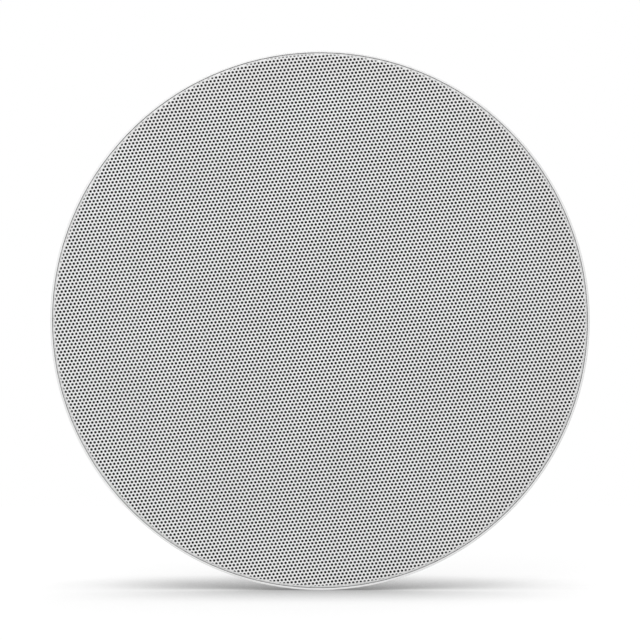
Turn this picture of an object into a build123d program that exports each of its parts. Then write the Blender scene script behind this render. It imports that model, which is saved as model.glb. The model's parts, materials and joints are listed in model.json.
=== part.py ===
from build123d import *
import os
from math import asin, cos, hypot, pi, radians, sin, sqrt, tan

# A two-way in-ceiling speaker in millimetres. The ceiling's face is z = 0 and the void above it is +Z,
# so the grille faces -Z and the crossover stands on top.

# Bezel frame
bezel_diameter = 280.0
bezel_cover = 18.5  # ceiling covered around the cut-out
lip_width = 1.0
lip_height = 3.2
lip_bevel = 0.4
flange_thickness = 2.6
collar_wall = 2.6
collar_height = 9.0
pocket_wall = 2.4
pocket_clearance = 0.4
ledge_depth = 12.0  # ceiling's face to the woofer's seat
ledge_thickness = 3.0
opening_clearance = 0.8
wall_root = 0.8  # how far a wall runs into the one that carries it
rib_thickness = 1.6
rib_drop = 1.0
rib_offsets = (22.0, 33.0, 57.0, 68.0)  # degrees from each clamp

# Grille, its cloth and its magnets
grille_gap = 0.25
grille_sheet = 0.8
grille_proud = 0.6
grille_bend = 1.6
perforation_pitch = 23.0
perforation_width = 14.0
perforation_sides = 6
perforation_tilt = 6.3  # degrees between the rows of holes and the x axis
scrim_thickness = 0.3
scrim_gap = 0.4
magnet_count = 8
magnet_start = 22.5
magnet_diameter = 8.0
magnet_thickness = 2.0
magnet_inset = 11.0
magnet_gap = 0.1
magnet_boss_wall = 1.4

# Clamps: screw, nut, swing-out leg and the tower that guides them
clamp_count = 4
clamp_start = 45.0
screw_diameter = 4.8
screw_room = 0.3
screw_head_diameter = 9.2
screw_head_height = 2.2
screw_tip = 1.5
nut_diameter = 7.8
nut_height = 9.0
nut_lift = 6.0
nut_clearance = 0.1
leg_width = 11.0
leg_reach = 25.0
leg_arm = 5.0
leg_height = 24.0
leg_clearance = 0.5
leg_fold = -90.0  # degrees from pointing outwards to folded
leg_tip_radius = 3.0
leg_rib_thickness = 3.0
leg_rib_height = 16.0
leg_rib_end = 4.0
tooth_count = 3
tooth_width = 1.5
tooth_depth = 0.8
tooth_pitch = 4.0
fold_room = 0.8
tower_height = 62.0
tower_wall = 1.8
tower_plate = 3.0
tower_guide = 14.0
guide_boss_height = 5.0

# Woofer
basket_sheet = 1.4
basket_step = 0.6
basket_draft = 2.5
window_count = 6
window_rim = 10.0
window_foot = 9.0
spoke_width = 12.0
bolt_count = 6
bolt_edge = 4.0
bolt_diameter = 3.8
bolt_room = 0.4
bolt_fit = 0.05
bolt_bite = 3.0
bolt_head_diameter = 7.2
bolt_head_height = 2.2
bolt_boss_wall = 1.6
gasket_width = 7.0
gasket_thickness = 2.0
gasket_edge = 0.4
surround_gap = 0.4
surround_lip = 4.6
surround_roll = 5.5
surround_thickness = 0.7
cone_lip = 4.0
cone_thickness = 0.9
cone_depth = 30.4
cap_diameter = 54.0
cap_depth = 3.5
cap_thickness = 0.7
coil_bore = 25.4
former_wall = 0.4
former_lead = 1.5
winding_wall = 0.7
winding_height = 12.0
gap_clearance = 0.4
spider_diameter = 98.0
spider_lip = 4.5
spider_neck = 4.0
spider_drop = 4.0
spider_thickness = 0.6
spider_waves = 3
spider_wave_height = 1.6
shelf_clearance = 1.0
motor_depth = 12.0
basket_bore_step = 3.0
top_plate_diameter = 88.0
top_plate_thickness = 6.0
ferrite_diameter = 100.0
ferrite_bore = 48.0
ferrite_thickness = 16.0
ferrite_chamfer = 1.2
yoke_diameter = 92.0
yoke_thickness = 6.0
vent_diameter = 10.0

# Bridge, swivel and tweeter
bridge_count = 3
bridge_start = 90.0
bridge_foot = 2.0
bridge_foot_length = 13.0
bridge_foot_edge = 5.0
arm_height = 4.0
arm_width = 9.0
arm_gap = 0.5
groove_width = 2.2
groove_depth = 2.2
foot_screw_diameter = 2.8
foot_screw_head_diameter = 5.6
foot_screw_head_height = 1.2
foot_screw_room = 0.2
foot_screw_bite = 4.0
foot_boss_wall = 1.6
pod_radius = 18.5
pod_front = 9.5  # pivot to the pod's face
pod_back = 11.0
pod_band = 3.0
pod_bore = 28.0
pod_floor = 2.0
pod_room = 0.3
tilt_limit = 15.0
pin_diameter = 3.0
pin_fit = 0.05
pin_tip = 0.4
swivel_wall = 3.1
swivel_half = 5.0
swivel_gap = 0.4
swivel_run = 0.3
hub_wall = 2.6
hub_shoulder = 1.6
hub_shoulder_height = 1.8
retainer_thickness = 1.6
tweeter_fit = 0.1
pot_diameter = 27.6
pot_wall = 2.2
pot_floor = 2.5
pot_height = 12.5
tweeter_magnet_diameter = 18.0
tweeter_magnet_thickness = 4.5
pole_plate_diameter = 20.4
pole_plate_thickness = 3.5
dome_diameter = 21.2
dome_height = 4.4
dome_thickness = 0.5
throat_gap = 1.2
flare = 1.4

# Crossover and terminals
tray_thickness = 2.0
tray_rim = 5.0
tray_rim_wall = 1.8
tray_screw_inset = 10.0
tray_screw_depth = 5.0
tray_screw_end = 0.5
board_length = 70.0
board_width = 48.0
board_thickness = 1.6
board_corner = 6.0
standoff_height = 4.0
standoff_diameter = 6.0
board_screw_inset = 4.0
board_screw_diameter = 2.4
board_screw_head_diameter = 5.2
board_screw_head_height = 1.8
board_screw_bite = 3.0
board_screw_fit = 0.05
board_hole_room = 0.4
part_gap = 1.5  # between neighbours on the board
inductor_inset = 17.0
woofer_inductor_diameter = 26.0
woofer_inductor_bore = 12.0
woofer_inductor_height = 12.0
tweeter_inductor_inset = 9.5
tweeter_inductor_diameter = 16.0
tweeter_inductor_bore = 7.0
tweeter_inductor_height = 9.0
woofer_capacitor_shift = 13.0
woofer_capacitor_diameter = 13.0
woofer_capacitor_length = 26.0
tweeter_capacitor_shift = 14.0
tweeter_capacitor_diameter = 9.6
tweeter_capacitor_length = 20.0
bobbin_flange = 1.2
bobbin_edge = 1.4  # how far a bobbin's flanges stand out past its winding
capacitor_flat = 0.4  # how far a capacitor's round side is flattened on the board
resistor_shift = -1.0
resistor_inset = 12.0
resistor_length = 14.0
resistor_width = 6.0
resistor_chamfer = 0.8
block_inset = (17.5, 9.0)  # from the board's edges to the block's middle
block_length = 19.0
block_width = 16.0
block_height = 15.0
block_chamfer = 1.0
button_pitch = 9.0
button_length = 6.0
button_width = 7.0
button_shift = 3.5
button_stem = 6.0
button_height = 3.0
button_clearance = 0.2
button_well = 9.0
button_corner = 1.0
wire_hole_diameter = 3.0
wire_hole_depth = 9.0
wire_hole_shift = -4.5

# Leads: the points of each route are chosen by hand
lead_diameter = 1.6
lead_spread = 4.0  # half the distance between a pair of leads
tinsel_diameter = 1.2
bend_share = 0.45  # part of the shorter run that each bend takes up
strip_length = 22.0
strip_inset = 2.0
strip_reach = 12.0  # past the basket's shelf or the magnet, whichever is wider
strip_thickness = 1.6
tag_inset = 5.0
woofer_lead_rise = ((0.0, 14.0), (1.5, 32.0), (8.0, 46.0))  # in from the tag, up from the strip
woofer_lead_fall = ((-14.0, 9.4), (-3.0, 9.9), (3.0, 5.4))  # in from the board's edge, above the board
woofer_pad_inset = 3.0
tinsel_inset = 3.0
tinsel_points = ((-3.0, -4.9), (0.6, -9.9), (-2.0, -15.9))  # out from the strip's edge, above its underside
tinsel_share = 0.61  # of the cone's radius
tweeter_pad_inset = 1.7
tweeter_lead_rise = ((-1.7, 9.4), (9.0, 14.4), (23.0, 9.4))  # out from the board's edge, above the board
tweeter_lead_slope = ((0.22, 0.96), (0.44, 0.79), (0.68, 0.615), (0.9, 0.455))  # shares of the way out and up
tweeter_lead_drop = ((2.6, 23.7), (3.6, 10.7), (3.4, 0.1), (-7.8, -0.3))  # out from the pocket, above the hole
groove_entry = 16.8
tweeter_lead_hub = ((9.1, 0.0), (3.3, 5.7), (2.5, 16.7))  # out from the hub, above the groove
tweeter_lead_loop = ((0.9, 2.0), (0.52, 8.0), (0.18, 8.5), (0.0, 5.0))  # share of the hub, above the tail
tail_length = 2.5
lead_hole_diameter = 4.4
lead_hole_height = 3.3

# Radii worked out from the rim inwards
bezel_radius = bezel_diameter / 2
collar_radius = bezel_radius - bezel_cover
collar_inner = collar_radius - collar_wall
leg_half = leg_width / 2
clamp_circle = sqrt((collar_radius - fold_room) ** 2 - leg_reach**2) - leg_half
pocket_outer = clamp_circle - leg_half - leg_clearance - tower_wall
pocket_radius = pocket_outer - pocket_wall
basket_radius = pocket_radius - pocket_clearance
bolt_circle = basket_radius - bolt_edge
gasket_inner = basket_radius - gasket_width
surround_outer = gasket_inner - surround_gap
roll_outer = surround_outer - surround_lip
roll_circle = roll_outer - surround_roll
cone_radius = roll_circle - surround_roll
cone_shoulder = cone_radius - cone_lip
basket_neck = roll_outer - basket_step
opening_radius = basket_neck + basket_sheet + opening_clearance
grille_radius = bezel_radius - lip_width - grille_gap
scrim_radius = grille_radius - grille_bend - scrim_gap
magnet_circle = bezel_radius - magnet_inset

# Radii worked out from the voice coil outwards
former_inner = coil_bore / 2
former_outer = former_inner + former_wall
pole_radius = former_inner - gap_clearance
plate_bore = former_outer + winding_wall + gap_clearance
spider_radius = spider_diameter / 2
shelf_inner = spider_radius - spider_lip
shelf_outer = spider_radius + shelf_clearance
ferrite_radius = ferrite_diameter / 2
strip_inner = shelf_inner + strip_inset
strip_outer = max(shelf_outer, ferrite_radius) + strip_reach
tray_radius = yoke_diameter / 2

# Heights
flange_front = -flange_thickness
lip_front = flange_front - lip_height
grille_front = lip_front - grille_proud
grille_back = grille_front + grille_sheet
scrim_back = grille_back + scrim_thickness
magnet_front = scrim_back + magnet_gap
ledge_back = ledge_depth + ledge_thickness
basket_front = ledge_depth - basket_sheet
gasket_front = basket_front - gasket_thickness
neck_height = basket_front + cone_depth
shelf_height = neck_height + spider_drop
plate_front = shelf_height + motor_depth
plate_back = plate_front + top_plate_thickness
ferrite_back = plate_back + ferrite_thickness
yoke_back = ferrite_back + yoke_thickness
leg_top = tower_height - tower_plate - leg_clearance
leg_bottom = leg_top - leg_height
screw_end = tower_height + screw_tip
bridge_front = flange_front - bridge_foot
pod_reach = pod_radius * sin(asin(pod_front / pod_radius) + radians(tilt_limit))
pivot_height = bridge_front + pod_reach + pod_room
board_bottom = yoke_back + tray_thickness + standoff_height
board_top = board_bottom + board_thickness
block_top = board_top + block_height
board_half = board_width / 2
strip_bottom = shelf_height + basket_sheet
strip_top = strip_bottom + strip_thickness

clamp_angles = [clamp_start + index * 360 / clamp_count for index in range(clamp_count)]

os.makedirs("parts", exist_ok=True)


def save(builder, name):
    builder.part.label = name
    export_step(builder.part, f"parts/{name}.step")


def section(*points):
    # closed outline of radius and height, to be turned about the z axis
    with BuildSketch(Plane.XZ) as outline:
        with BuildLine():
            Polyline(*points, close=True)
        make_face()
    return outline.sketch


def annulus(outer, inner, height):
    with BuildSketch(Plane.XY.offset(height)) as ring:
        Circle(outer)
        Circle(inner, mode=Mode.SUBTRACT)
    return ring.sketch


def discs(radius, places, height):
    # equal round spots, one at each place
    with BuildSketch(Plane.XY.offset(height)) as spots:
        with places:
            Circle(radius)
    return spots.sketch


def dish(radius, rim, depth):
    # height above its rim of a round dish that is deepest on the axis
    ball = (rim**2 + depth**2) / (2 * depth)
    return sqrt(ball**2 - radius**2) - (ball - depth)


def cone_front(radius):
    return basket_front + cone_depth * (cone_shoulder - radius) / (cone_shoulder - former_outer)


def clamp_plane(angle, height, turn=0.0):
    # plane on a clamp screw's axis, its x pointing outwards and then turned
    axis = radians(angle)
    facing = radians(angle + turn)
    origin = (clamp_circle * cos(axis), clamp_circle * sin(axis), height)
    return Plane(origin=origin, x_dir=(cos(facing), sin(facing), 0), z_dir=(0, 0, 1))


def bend_radii(points):
    # the largest bend that each corner's two runs leave room for
    radii = []
    for before, corner, after in zip(points, points[1:], points[2:]):
        first = Vector(corner) - Vector(before)
        second = Vector(after) - Vector(corner)
        half_turn = radians(first.get_angle(second)) / 2
        radii.append(bend_share * min(first.length, second.length) / tan(half_turn))
    return radii


def lead(points, diameter):
    # round wire along its route
    with BuildPart() as wire:
        with BuildLine() as route:
            FilletPolyline(*points, radius=bend_radii(points))
        with BuildSketch(Plane(origin=route.line @ 0, z_dir=route.line % 0)):
            Circle(diameter / 2)
        sweep(path=route.line)
    length = sum(edge.length for edge in route.edges())
    print(f"lead {length:.1f} long, tightest bend {min(bend_radii(points)):.1f}")
    print(f"volume {wire.part.volume:.2f} of {pi * diameter**2 / 4 * length:.2f}")
    return wire.part


# Grille: perforated sheet drawn into a shallow pan
row_pitch = perforation_pitch * sqrt(3) / 2
hole_reach = grille_radius - grille_bend - perforation_width / 2
row_count = int(hole_reach / row_pitch)
perforations = []
for row in range(-row_count, row_count + 1):
    shift = perforation_pitch / 2 * (row % 2)
    steps = int(hole_reach / perforation_pitch) + 1
    for step in range(-steps, steps + 1):
        place = (shift + step * perforation_pitch, row * row_pitch)
        if hypot(*place) <= hole_reach:
            perforations.append(place)

with BuildPart() as grille:
    with BuildSketch(Plane.XZ):
        with BuildLine():
            inner_bend = grille_bend - grille_sheet
            bend_circle = grille_radius - grille_bend
            bend_height = grille_front + grille_bend
            Polyline(
                (bend_circle, grille_back),
                (0, grille_back),
                (0, grille_front),
                (bend_circle, grille_front),
            )
            CenterArc((bend_circle, bend_height), grille_bend, -90, 90)
            Polyline(
                (grille_radius, bend_height),
                (grille_radius, flange_front),
                (grille_radius - grille_sheet, flange_front),
                (grille_radius - grille_sheet, bend_height),
            )
            CenterArc((bend_circle, bend_height), inner_bend, -90, 90)
        make_face()
    revolve(axis=Axis.Z)
    with BuildSketch(Plane.XY.offset(grille_front).rotated((0, 0, -perforation_tilt))):
        with Locations(*perforations):
            RegularPolygon(perforation_width / 2, perforation_sides)
    extrude(amount=grille_sheet, mode=Mode.SUBTRACT)
save(grille, "grille")

with BuildPart() as grille_scrim:
    with BuildSketch(Plane.XY.offset(grille_back)):
        Circle(scrim_radius)
    extrude(amount=scrim_thickness)
save(grille_scrim, "grille_scrim")

magnet_places = PolarLocations(magnet_circle, magnet_count, magnet_start)

with BuildPart() as grille_magnets:
    extrude(discs(magnet_diameter / 2, magnet_places, magnet_front), amount=magnet_thickness)
save(grille_magnets, "grille_magnets")

# Frame: one moulding with flange, lip, collar, woofer pocket, clamp towers and ribs
clamp_places = PolarLocations(clamp_circle, clamp_count, clamp_start)
bolt_places = PolarLocations(bolt_circle, bolt_count)
foot_circle = pocket_radius + bridge_foot_length - bridge_foot_edge
foot_places = PolarLocations(foot_circle, bridge_count, bridge_start)
screw_hole = screw_diameter / 2 + screw_room
tower_inner = leg_half + leg_clearance
tower_back = tower_inner + tower_wall + wall_root
stop_edge = tower_inner + tower_wall
bolt_pilot = bolt_diameter / 2 + bolt_fit
foot_pilot = foot_screw_diameter / 2 + bolt_fit

with BuildPart() as frame:
    revolve(
        section(
            (pocket_radius, flange_front),
            (bezel_radius - lip_width, flange_front),
            (bezel_radius - lip_width, lip_front),
            (bezel_radius - lip_bevel, lip_front),
            (bezel_radius, lip_front + lip_bevel),
            (bezel_radius, 0),
            (collar_radius, 0),
            (collar_radius, collar_height),
            (collar_inner, collar_height),
            (collar_inner, 0),
            (pocket_outer, 0),
            (pocket_outer, ledge_back),
            (opening_radius, ledge_back),
            (opening_radius, ledge_depth),
            (pocket_radius, ledge_depth),
        ),
        axis=Axis.Z,
    )
    # bosses that hold the grille's magnets
    extrude(discs(magnet_diameter / 2 + magnet_boss_wall, magnet_places, magnet_front), until=Until.NEXT)
    extrude(
        discs(magnet_diameter / 2, magnet_places, magnet_front),
        amount=magnet_thickness,
        mode=Mode.SUBTRACT,
    )
    # stiffening ribs across the channel
    with BuildSketch(Plane.XY):
        for offset_angle in rib_offsets:
            with PolarLocations((pocket_outer + collar_inner) / 2, clamp_count, clamp_start + offset_angle):
                Rectangle(collar_inner - pocket_outer + 2 * wall_root, rib_thickness)
    extrude(amount=collar_height - rib_drop)
    # clamp towers: a guide wall, a stop wall and a plate for the screw's tip
    with BuildSketch(Plane.XY):
        with clamp_places:
            with Locations((-tower_back, stop_edge)):
                Rectangle(tower_wall + wall_root, tower_guide + stop_edge, align=(Align.MIN, Align.MAX))
                Rectangle(tower_back + leg_half, tower_wall, align=(Align.MIN, Align.MAX))
    extrude(amount=tower_height)
    with BuildSketch(Plane.XY.offset(tower_height - tower_plate)):
        with clamp_places:
            with Locations((-tower_back, stop_edge)):
                Rectangle(tower_back + leg_half, stop_edge + leg_half, align=(Align.MIN, Align.MAX))
    extrude(amount=tower_plate)
    extrude(discs(leg_half, clamp_places, 0), amount=guide_boss_height)
    extrude(
        discs(screw_hole, clamp_places, flange_front),
        amount=tower_height - flange_front,
        mode=Mode.SUBTRACT,
    )
    # bosses and pilot holes for the woofer's screws and the bridge's feet
    extrude(discs(bolt_pilot + bolt_boss_wall, bolt_places, ledge_back), amount=bolt_bite)
    extrude(
        discs(bolt_pilot, bolt_places, ledge_depth),
        amount=ledge_thickness + bolt_bite,
        mode=Mode.SUBTRACT,
    )
    extrude(discs(foot_pilot + foot_boss_wall, foot_places, 0), amount=foot_screw_bite)
    extrude(
        discs(foot_pilot, foot_places, flange_front),
        amount=foot_screw_bite - flange_front,
        mode=Mode.SUBTRACT,
    )
    # hole through the pocket's wall for the tweeter's lead
    with BuildSketch(Plane.XZ.offset(-pocket_outer)):
        with Locations((0, lead_hole_height)):
            Circle(lead_hole_diameter / 2)
    extrude(amount=2 * pocket_wall, mode=Mode.SUBTRACT)
save(frame, "frame")

# Clamps, with their legs folded against the towers
nut_bottom = leg_bottom + nut_lift
for number, angle in enumerate(clamp_angles, start=1):
    with BuildPart() as clamp_screw:
        with BuildSketch(clamp_plane(angle, flange_front - screw_head_height)):
            Circle(screw_head_diameter / 2)
        extrude(amount=screw_head_height)
        with BuildSketch(clamp_plane(angle, flange_front)):
            Circle(screw_diameter / 2)
        extrude(amount=screw_end - flange_front)
    save(clamp_screw, f"clamp_screw_{number}")

    with BuildPart() as clamp_nut:
        with BuildSketch(clamp_plane(angle, nut_bottom)):
            Circle(nut_diameter / 2)
            Circle(screw_diameter / 2 + nut_clearance, mode=Mode.SUBTRACT)
        extrude(amount=nut_height)
    save(clamp_nut, f"clamp_nut_{number}")

    with BuildPart() as clamp_leg:
        with BuildSketch(clamp_plane(angle, leg_bottom, leg_fold)) as arm:
            Rectangle(leg_reach, leg_width, align=(Align.MIN, Align.CENTER))
            fillet(arm.vertices().sort_by(Axis.X)[-2:], leg_tip_radius)
            Circle(leg_half)
        extrude(amount=leg_arm)
        with BuildSketch(clamp_plane(angle, leg_bottom)):
            Circle(leg_half)
        extrude(amount=leg_height)
        # rib that stiffens the arm against the hub
        upright = clamp_plane(angle, leg_bottom, leg_fold)
        with BuildSketch(Plane(origin=upright.origin, x_dir=upright.x_dir, z_dir=-upright.y_dir)):
            with BuildLine():
                Polyline(
                    (0, leg_arm),
                    (leg_reach - leg_rib_end, leg_arm),
                    (leg_half, leg_rib_height),
                    (0, leg_rib_height),
                    close=True,
                )
            make_face()
        extrude(amount=leg_rib_thickness / 2, both=True)
        # grooves that leave gripping teeth under the arm
        with BuildSketch(clamp_plane(angle, leg_bottom, leg_fold)):
            with Locations((leg_reach - leg_tip_radius - tooth_pitch * (tooth_count - 1) / 2, 0)):
                with GridLocations(tooth_pitch, 0, tooth_count, 1):
                    Rectangle(tooth_width, leg_width)
        extrude(amount=tooth_depth, mode=Mode.SUBTRACT)
        with BuildSketch(clamp_plane(angle, leg_bottom)):
            Circle(screw_hole)
        extrude(amount=leg_height, mode=Mode.SUBTRACT)
        with BuildSketch(clamp_plane(angle, nut_bottom - nut_clearance)):
            Circle(nut_diameter / 2 + nut_clearance)
        extrude(amount=nut_height + 2 * nut_clearance, mode=Mode.SUBTRACT)
    save(clamp_leg, f"clamp_leg_{number}")

# Woofer: pressed basket with windows between its spokes
basket_foot = shelf_inner - basket_draft
basket_bore = plate_bore + basket_bore_step
window_outer = basket_neck - window_rim
window_inner = shelf_outer + window_foot
bolt_hole = bolt_diameter / 2 + bolt_room

with BuildPart() as woofer_basket:
    revolve(
        section(
            (basket_radius, basket_front),
            (basket_neck, basket_front),
            (shelf_outer, shelf_height),
            (shelf_inner, shelf_height),
            (basket_foot, plate_front - basket_sheet),
            (basket_bore, plate_front - basket_sheet),
            (basket_bore, plate_front),
            (basket_foot + basket_sheet, plate_front),
            (shelf_inner + basket_sheet, shelf_height + basket_sheet),
            (shelf_outer + basket_sheet, shelf_height + basket_sheet),
            (basket_neck + basket_sheet, ledge_depth),
            (basket_radius, ledge_depth),
        ),
        axis=Axis.Z,
    )
    with BuildSketch(Plane.XY.offset(ledge_depth)):
        Circle(window_outer)
        Circle(window_inner, mode=Mode.SUBTRACT)
        with PolarLocations(0, window_count):
            Rectangle(basket_radius, spoke_width, align=(Align.MIN, Align.CENTER), mode=Mode.SUBTRACT)
    extrude(amount=shelf_height - ledge_depth, mode=Mode.SUBTRACT)
    extrude(discs(bolt_hole, bolt_places, basket_front), amount=basket_sheet, mode=Mode.SUBTRACT)
save(woofer_basket, "woofer_basket")

with BuildPart() as woofer_gasket:
    extrude(annulus(basket_radius - gasket_edge, gasket_inner, gasket_front), amount=gasket_thickness)
    extrude(discs(bolt_hole, bolt_places, gasket_front), amount=gasket_thickness, mode=Mode.SUBTRACT)
save(woofer_gasket, "woofer_gasket")

with BuildPart() as woofer_screws:
    extrude(discs(bolt_head_diameter / 2, bolt_places, gasket_front), amount=-bolt_head_height)
    extrude(discs(bolt_diameter / 2, bolt_places, gasket_front), amount=ledge_back + bolt_bite - gasket_front)
save(woofer_screws, "woofer_screws")

# Surround: a half roll of rubber between two glued lips
roll_front = basket_front - surround_thickness
roll_inside = surround_roll - surround_thickness

with BuildPart() as woofer_surround:
    with BuildSketch(Plane.XZ):
        with BuildLine():
            Polyline(
                (roll_circle + roll_inside, roll_front),
                (roll_circle + roll_inside, basket_front),
                (surround_outer, basket_front),
                (surround_outer, roll_front),
                (roll_outer, roll_front),
            )
            CenterArc((roll_circle, roll_front), surround_roll, 0, -180)
            Polyline(
                (cone_radius, roll_front),
                (cone_shoulder, roll_front),
                (cone_shoulder, basket_front),
                (roll_circle - roll_inside, basket_front),
                (roll_circle - roll_inside, roll_front),
            )
            CenterArc((roll_circle, roll_front), roll_inside, 180, 180)
        make_face()
    revolve(axis=Axis.Z)
save(woofer_surround, "woofer_surround")

with BuildPart() as woofer_cone:
    revolve(
        section(
            (cone_radius, basket_front),
            (cone_shoulder, basket_front),
            (former_outer, neck_height),
            (former_outer, neck_height + cone_thickness),
            (cone_shoulder, basket_front + cone_thickness),
            (cone_radius, basket_front + cone_thickness),
        ),
        axis=Axis.Z,
    )
save(woofer_cone, "woofer_cone")

# Dust cap: a shallow dish whose edge is glued to the cone
cap_rim = cap_diameter / 2
cap_edge = cap_rim - 2 * cap_thickness
cap_base = cone_front(cap_rim)
cap_seat = cone_front(cap_edge)
cap_back = cap_base + cap_depth + cap_thickness

with BuildPart() as woofer_dust_cap:
    with BuildSketch(Plane.XZ):
        with BuildLine():
            front_middle = (cap_rim / 2, cap_base + dish(cap_rim / 2, cap_rim, cap_depth))
            back_middle = (cap_edge / 2, cap_seat + dish(cap_edge / 2, cap_edge, cap_back - cap_seat))
            ThreePointArc((0, cap_base + cap_depth), front_middle, (cap_rim, cap_base))
            Line((cap_rim, cap_base), (cap_edge, cap_seat))
            ThreePointArc((cap_edge, cap_seat), back_middle, (0, cap_back))
            Line((0, cap_back), (0, cap_base + cap_depth))
        make_face()
    revolve(axis=Axis.Z)
save(woofer_dust_cap, "woofer_dust_cap")

# Voice coil on its former, hanging in the magnetic gap
winding_start = plate_front + (top_plate_thickness - winding_height) / 2
winding_end = winding_start + winding_height
former_start = neck_height - former_lead

with BuildPart() as woofer_coil_former:
    extrude(annulus(former_outer, former_inner, former_start), amount=winding_end - former_start)
save(woofer_coil_former, "woofer_coil_former")

with BuildPart() as woofer_voice_coil:
    extrude(annulus(former_outer + winding_wall, former_outer, winding_start), amount=winding_height)
save(woofer_voice_coil, "woofer_voice_coil")

# Spider: a pleated cloth disc that centres the coil
wave_start = former_outer + spider_neck
wave_half = (shelf_inner - wave_start) / (2 * spider_waves)
spider_front = [(former_outer, 0.0), (wave_start, 0.0)]
for half in range(2 * spider_waves):
    crest = spider_wave_height if half % 2 else -spider_wave_height
    spider_front.append((wave_start + (half + 0.5) * wave_half, crest))
spider_front += [(shelf_inner, 0.0), (spider_radius, 0.0)]
spider_level = shelf_height - spider_thickness

with BuildPart() as woofer_spider:
    pleats = [(radius, spider_level + height) for radius, height in spider_front]
    pleats += [(radius, shelf_height + height) for radius, height in reversed(spider_front)]
    revolve(section(*pleats), axis=Axis.Z)
save(woofer_spider, "woofer_spider")

# Motor: top plate, ferrite ring and yoke with its vented pole
tray_screw_places = PolarLocations(tray_radius - tray_screw_inset, 2, 90)
tray_pilot = bolt_diameter / 2 + bolt_fit

with BuildPart() as woofer_top_plate:
    extrude(annulus(top_plate_diameter / 2, plate_bore, plate_front), amount=top_plate_thickness)
save(woofer_top_plate, "woofer_top_plate")

with BuildPart() as woofer_magnet:
    extrude(annulus(ferrite_radius, ferrite_bore / 2, plate_back), amount=ferrite_thickness)
    chamfer(woofer_magnet.edges().filter_by(GeomType.CIRCLE).sort_by(SortBy.RADIUS)[-2:], ferrite_chamfer)
save(woofer_magnet, "woofer_magnet")

with BuildPart() as woofer_yoke:
    extrude(annulus(tray_radius, vent_diameter / 2, ferrite_back), amount=yoke_thickness)
    extrude(annulus(pole_radius, vent_diameter / 2, plate_front), amount=ferrite_back - plate_front)
    extrude(
        discs(tray_pilot, tray_screw_places, yoke_back),
        amount=-(tray_screw_depth + tray_screw_end),
        mode=Mode.SUBTRACT,
    )
save(woofer_yoke, "woofer_yoke")

# Bridge: three arms carry the tweeter's hub in front of the woofer
pod_widest = sqrt(pod_radius**2 - pod_band**2)
swivel_bore = pod_radius + swivel_gap
swivel_outer = swivel_bore + swivel_wall
swivel_front = pivot_height - swivel_half
hub_bore = swivel_outer + swivel_run
hub_outer = hub_bore + hub_wall
hub_back = pivot_height + swivel_half + swivel_run
shoulder_back = swivel_front - swivel_run
shoulder_front = shoulder_back - hub_shoulder_height
shoulder_inner = hub_bore - hub_shoulder
foot_end = pocket_radius + bridge_foot_length
arm_end = pocket_radius - arm_gap
arm_back = bridge_front + arm_height
foot_hole = foot_screw_diameter / 2 + foot_screw_room
foot_sink = foot_screw_head_diameter / 2 + foot_screw_room

with BuildPart() as tweeter_bridge:
    with BuildSketch(Plane.XY.offset(bridge_front)):
        with PolarLocations(0, bridge_count, bridge_start):
            Rectangle(arm_end, arm_width, align=(Align.MIN, Align.CENTER))
    extrude(amount=arm_height)
    with BuildSketch(Plane.XY.offset(bridge_front)):
        with PolarLocations(0, bridge_count, bridge_start):
            Rectangle(foot_end, arm_width, align=(Align.MIN, Align.CENTER))
    extrude(amount=bridge_foot)
    with BuildSketch(Plane.XY.offset(bridge_front)):
        Circle(hub_outer)
    extrude(amount=hub_back - bridge_front)
    revolve(
        section(
            (0, bridge_front),
            (hub_bore, bridge_front),
            (shoulder_inner, shoulder_front),
            (shoulder_inner, shoulder_back),
            (hub_bore, shoulder_back),
            (hub_bore, hub_back),
            (0, hub_back),
        ),
        axis=Axis.Z,
        mode=Mode.SUBTRACT,
    )
    # groove in the back of one arm for the tweeter's lead
    with BuildSketch(Plane.XY.offset(arm_back)):
        with Locations((0, hub_outer)):
            Rectangle(groove_width, arm_end - hub_outer, align=(Align.CENTER, Align.MIN))
    extrude(amount=-groove_depth, mode=Mode.SUBTRACT)
    extrude(discs(foot_hole, foot_places, bridge_front), amount=bridge_foot, mode=Mode.SUBTRACT)
    extrude(discs(foot_sink, foot_places, bridge_front), amount=foot_screw_head_height, mode=Mode.SUBTRACT)
save(tweeter_bridge, "tweeter_bridge")

with BuildPart() as bridge_screws:
    extrude(discs(foot_screw_head_diameter / 2, foot_places, bridge_front), amount=foot_screw_head_height)
    extrude(discs(foot_screw_diameter / 2, foot_places, bridge_front), amount=foot_screw_bite - bridge_front)
save(bridge_screws, "bridge_screws")

# Swivel: the ring turns in the hub, and the pod tilts on two pins in the ring
with BuildPart() as swivel_ring:
    extrude(annulus(swivel_outer, swivel_bore, swivel_front), amount=2 * swivel_half)
    with BuildSketch(Plane.YZ):
        with Locations((0, pivot_height)):
            Circle(pin_diameter / 2 + pin_fit)
    extrude(amount=swivel_outer, both=True, mode=Mode.SUBTRACT)
save(swivel_ring, "swivel_ring")

with BuildPart() as swivel_retainer:
    extrude(annulus(hub_outer, shoulder_inner, hub_back), amount=retainer_thickness)
save(swivel_retainer, "swivel_retainer")

# Tweeter: a barrel-shaped pod with a neodymium motor and a soft dome
pod_face = pivot_height - pod_front
pod_end = pivot_height + pod_back
pod_seat = pod_end - pod_floor
pot_front = pod_seat - pot_height
magnet_back = pod_seat - pot_floor
pole_back = magnet_back - tweeter_magnet_thickness
dome_rim = dome_diameter / 2
dome_front = pot_front - dome_thickness
throat = dome_rim + throat_gap
faceplate_radius = pod_bore / 2 - tweeter_fit

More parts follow.
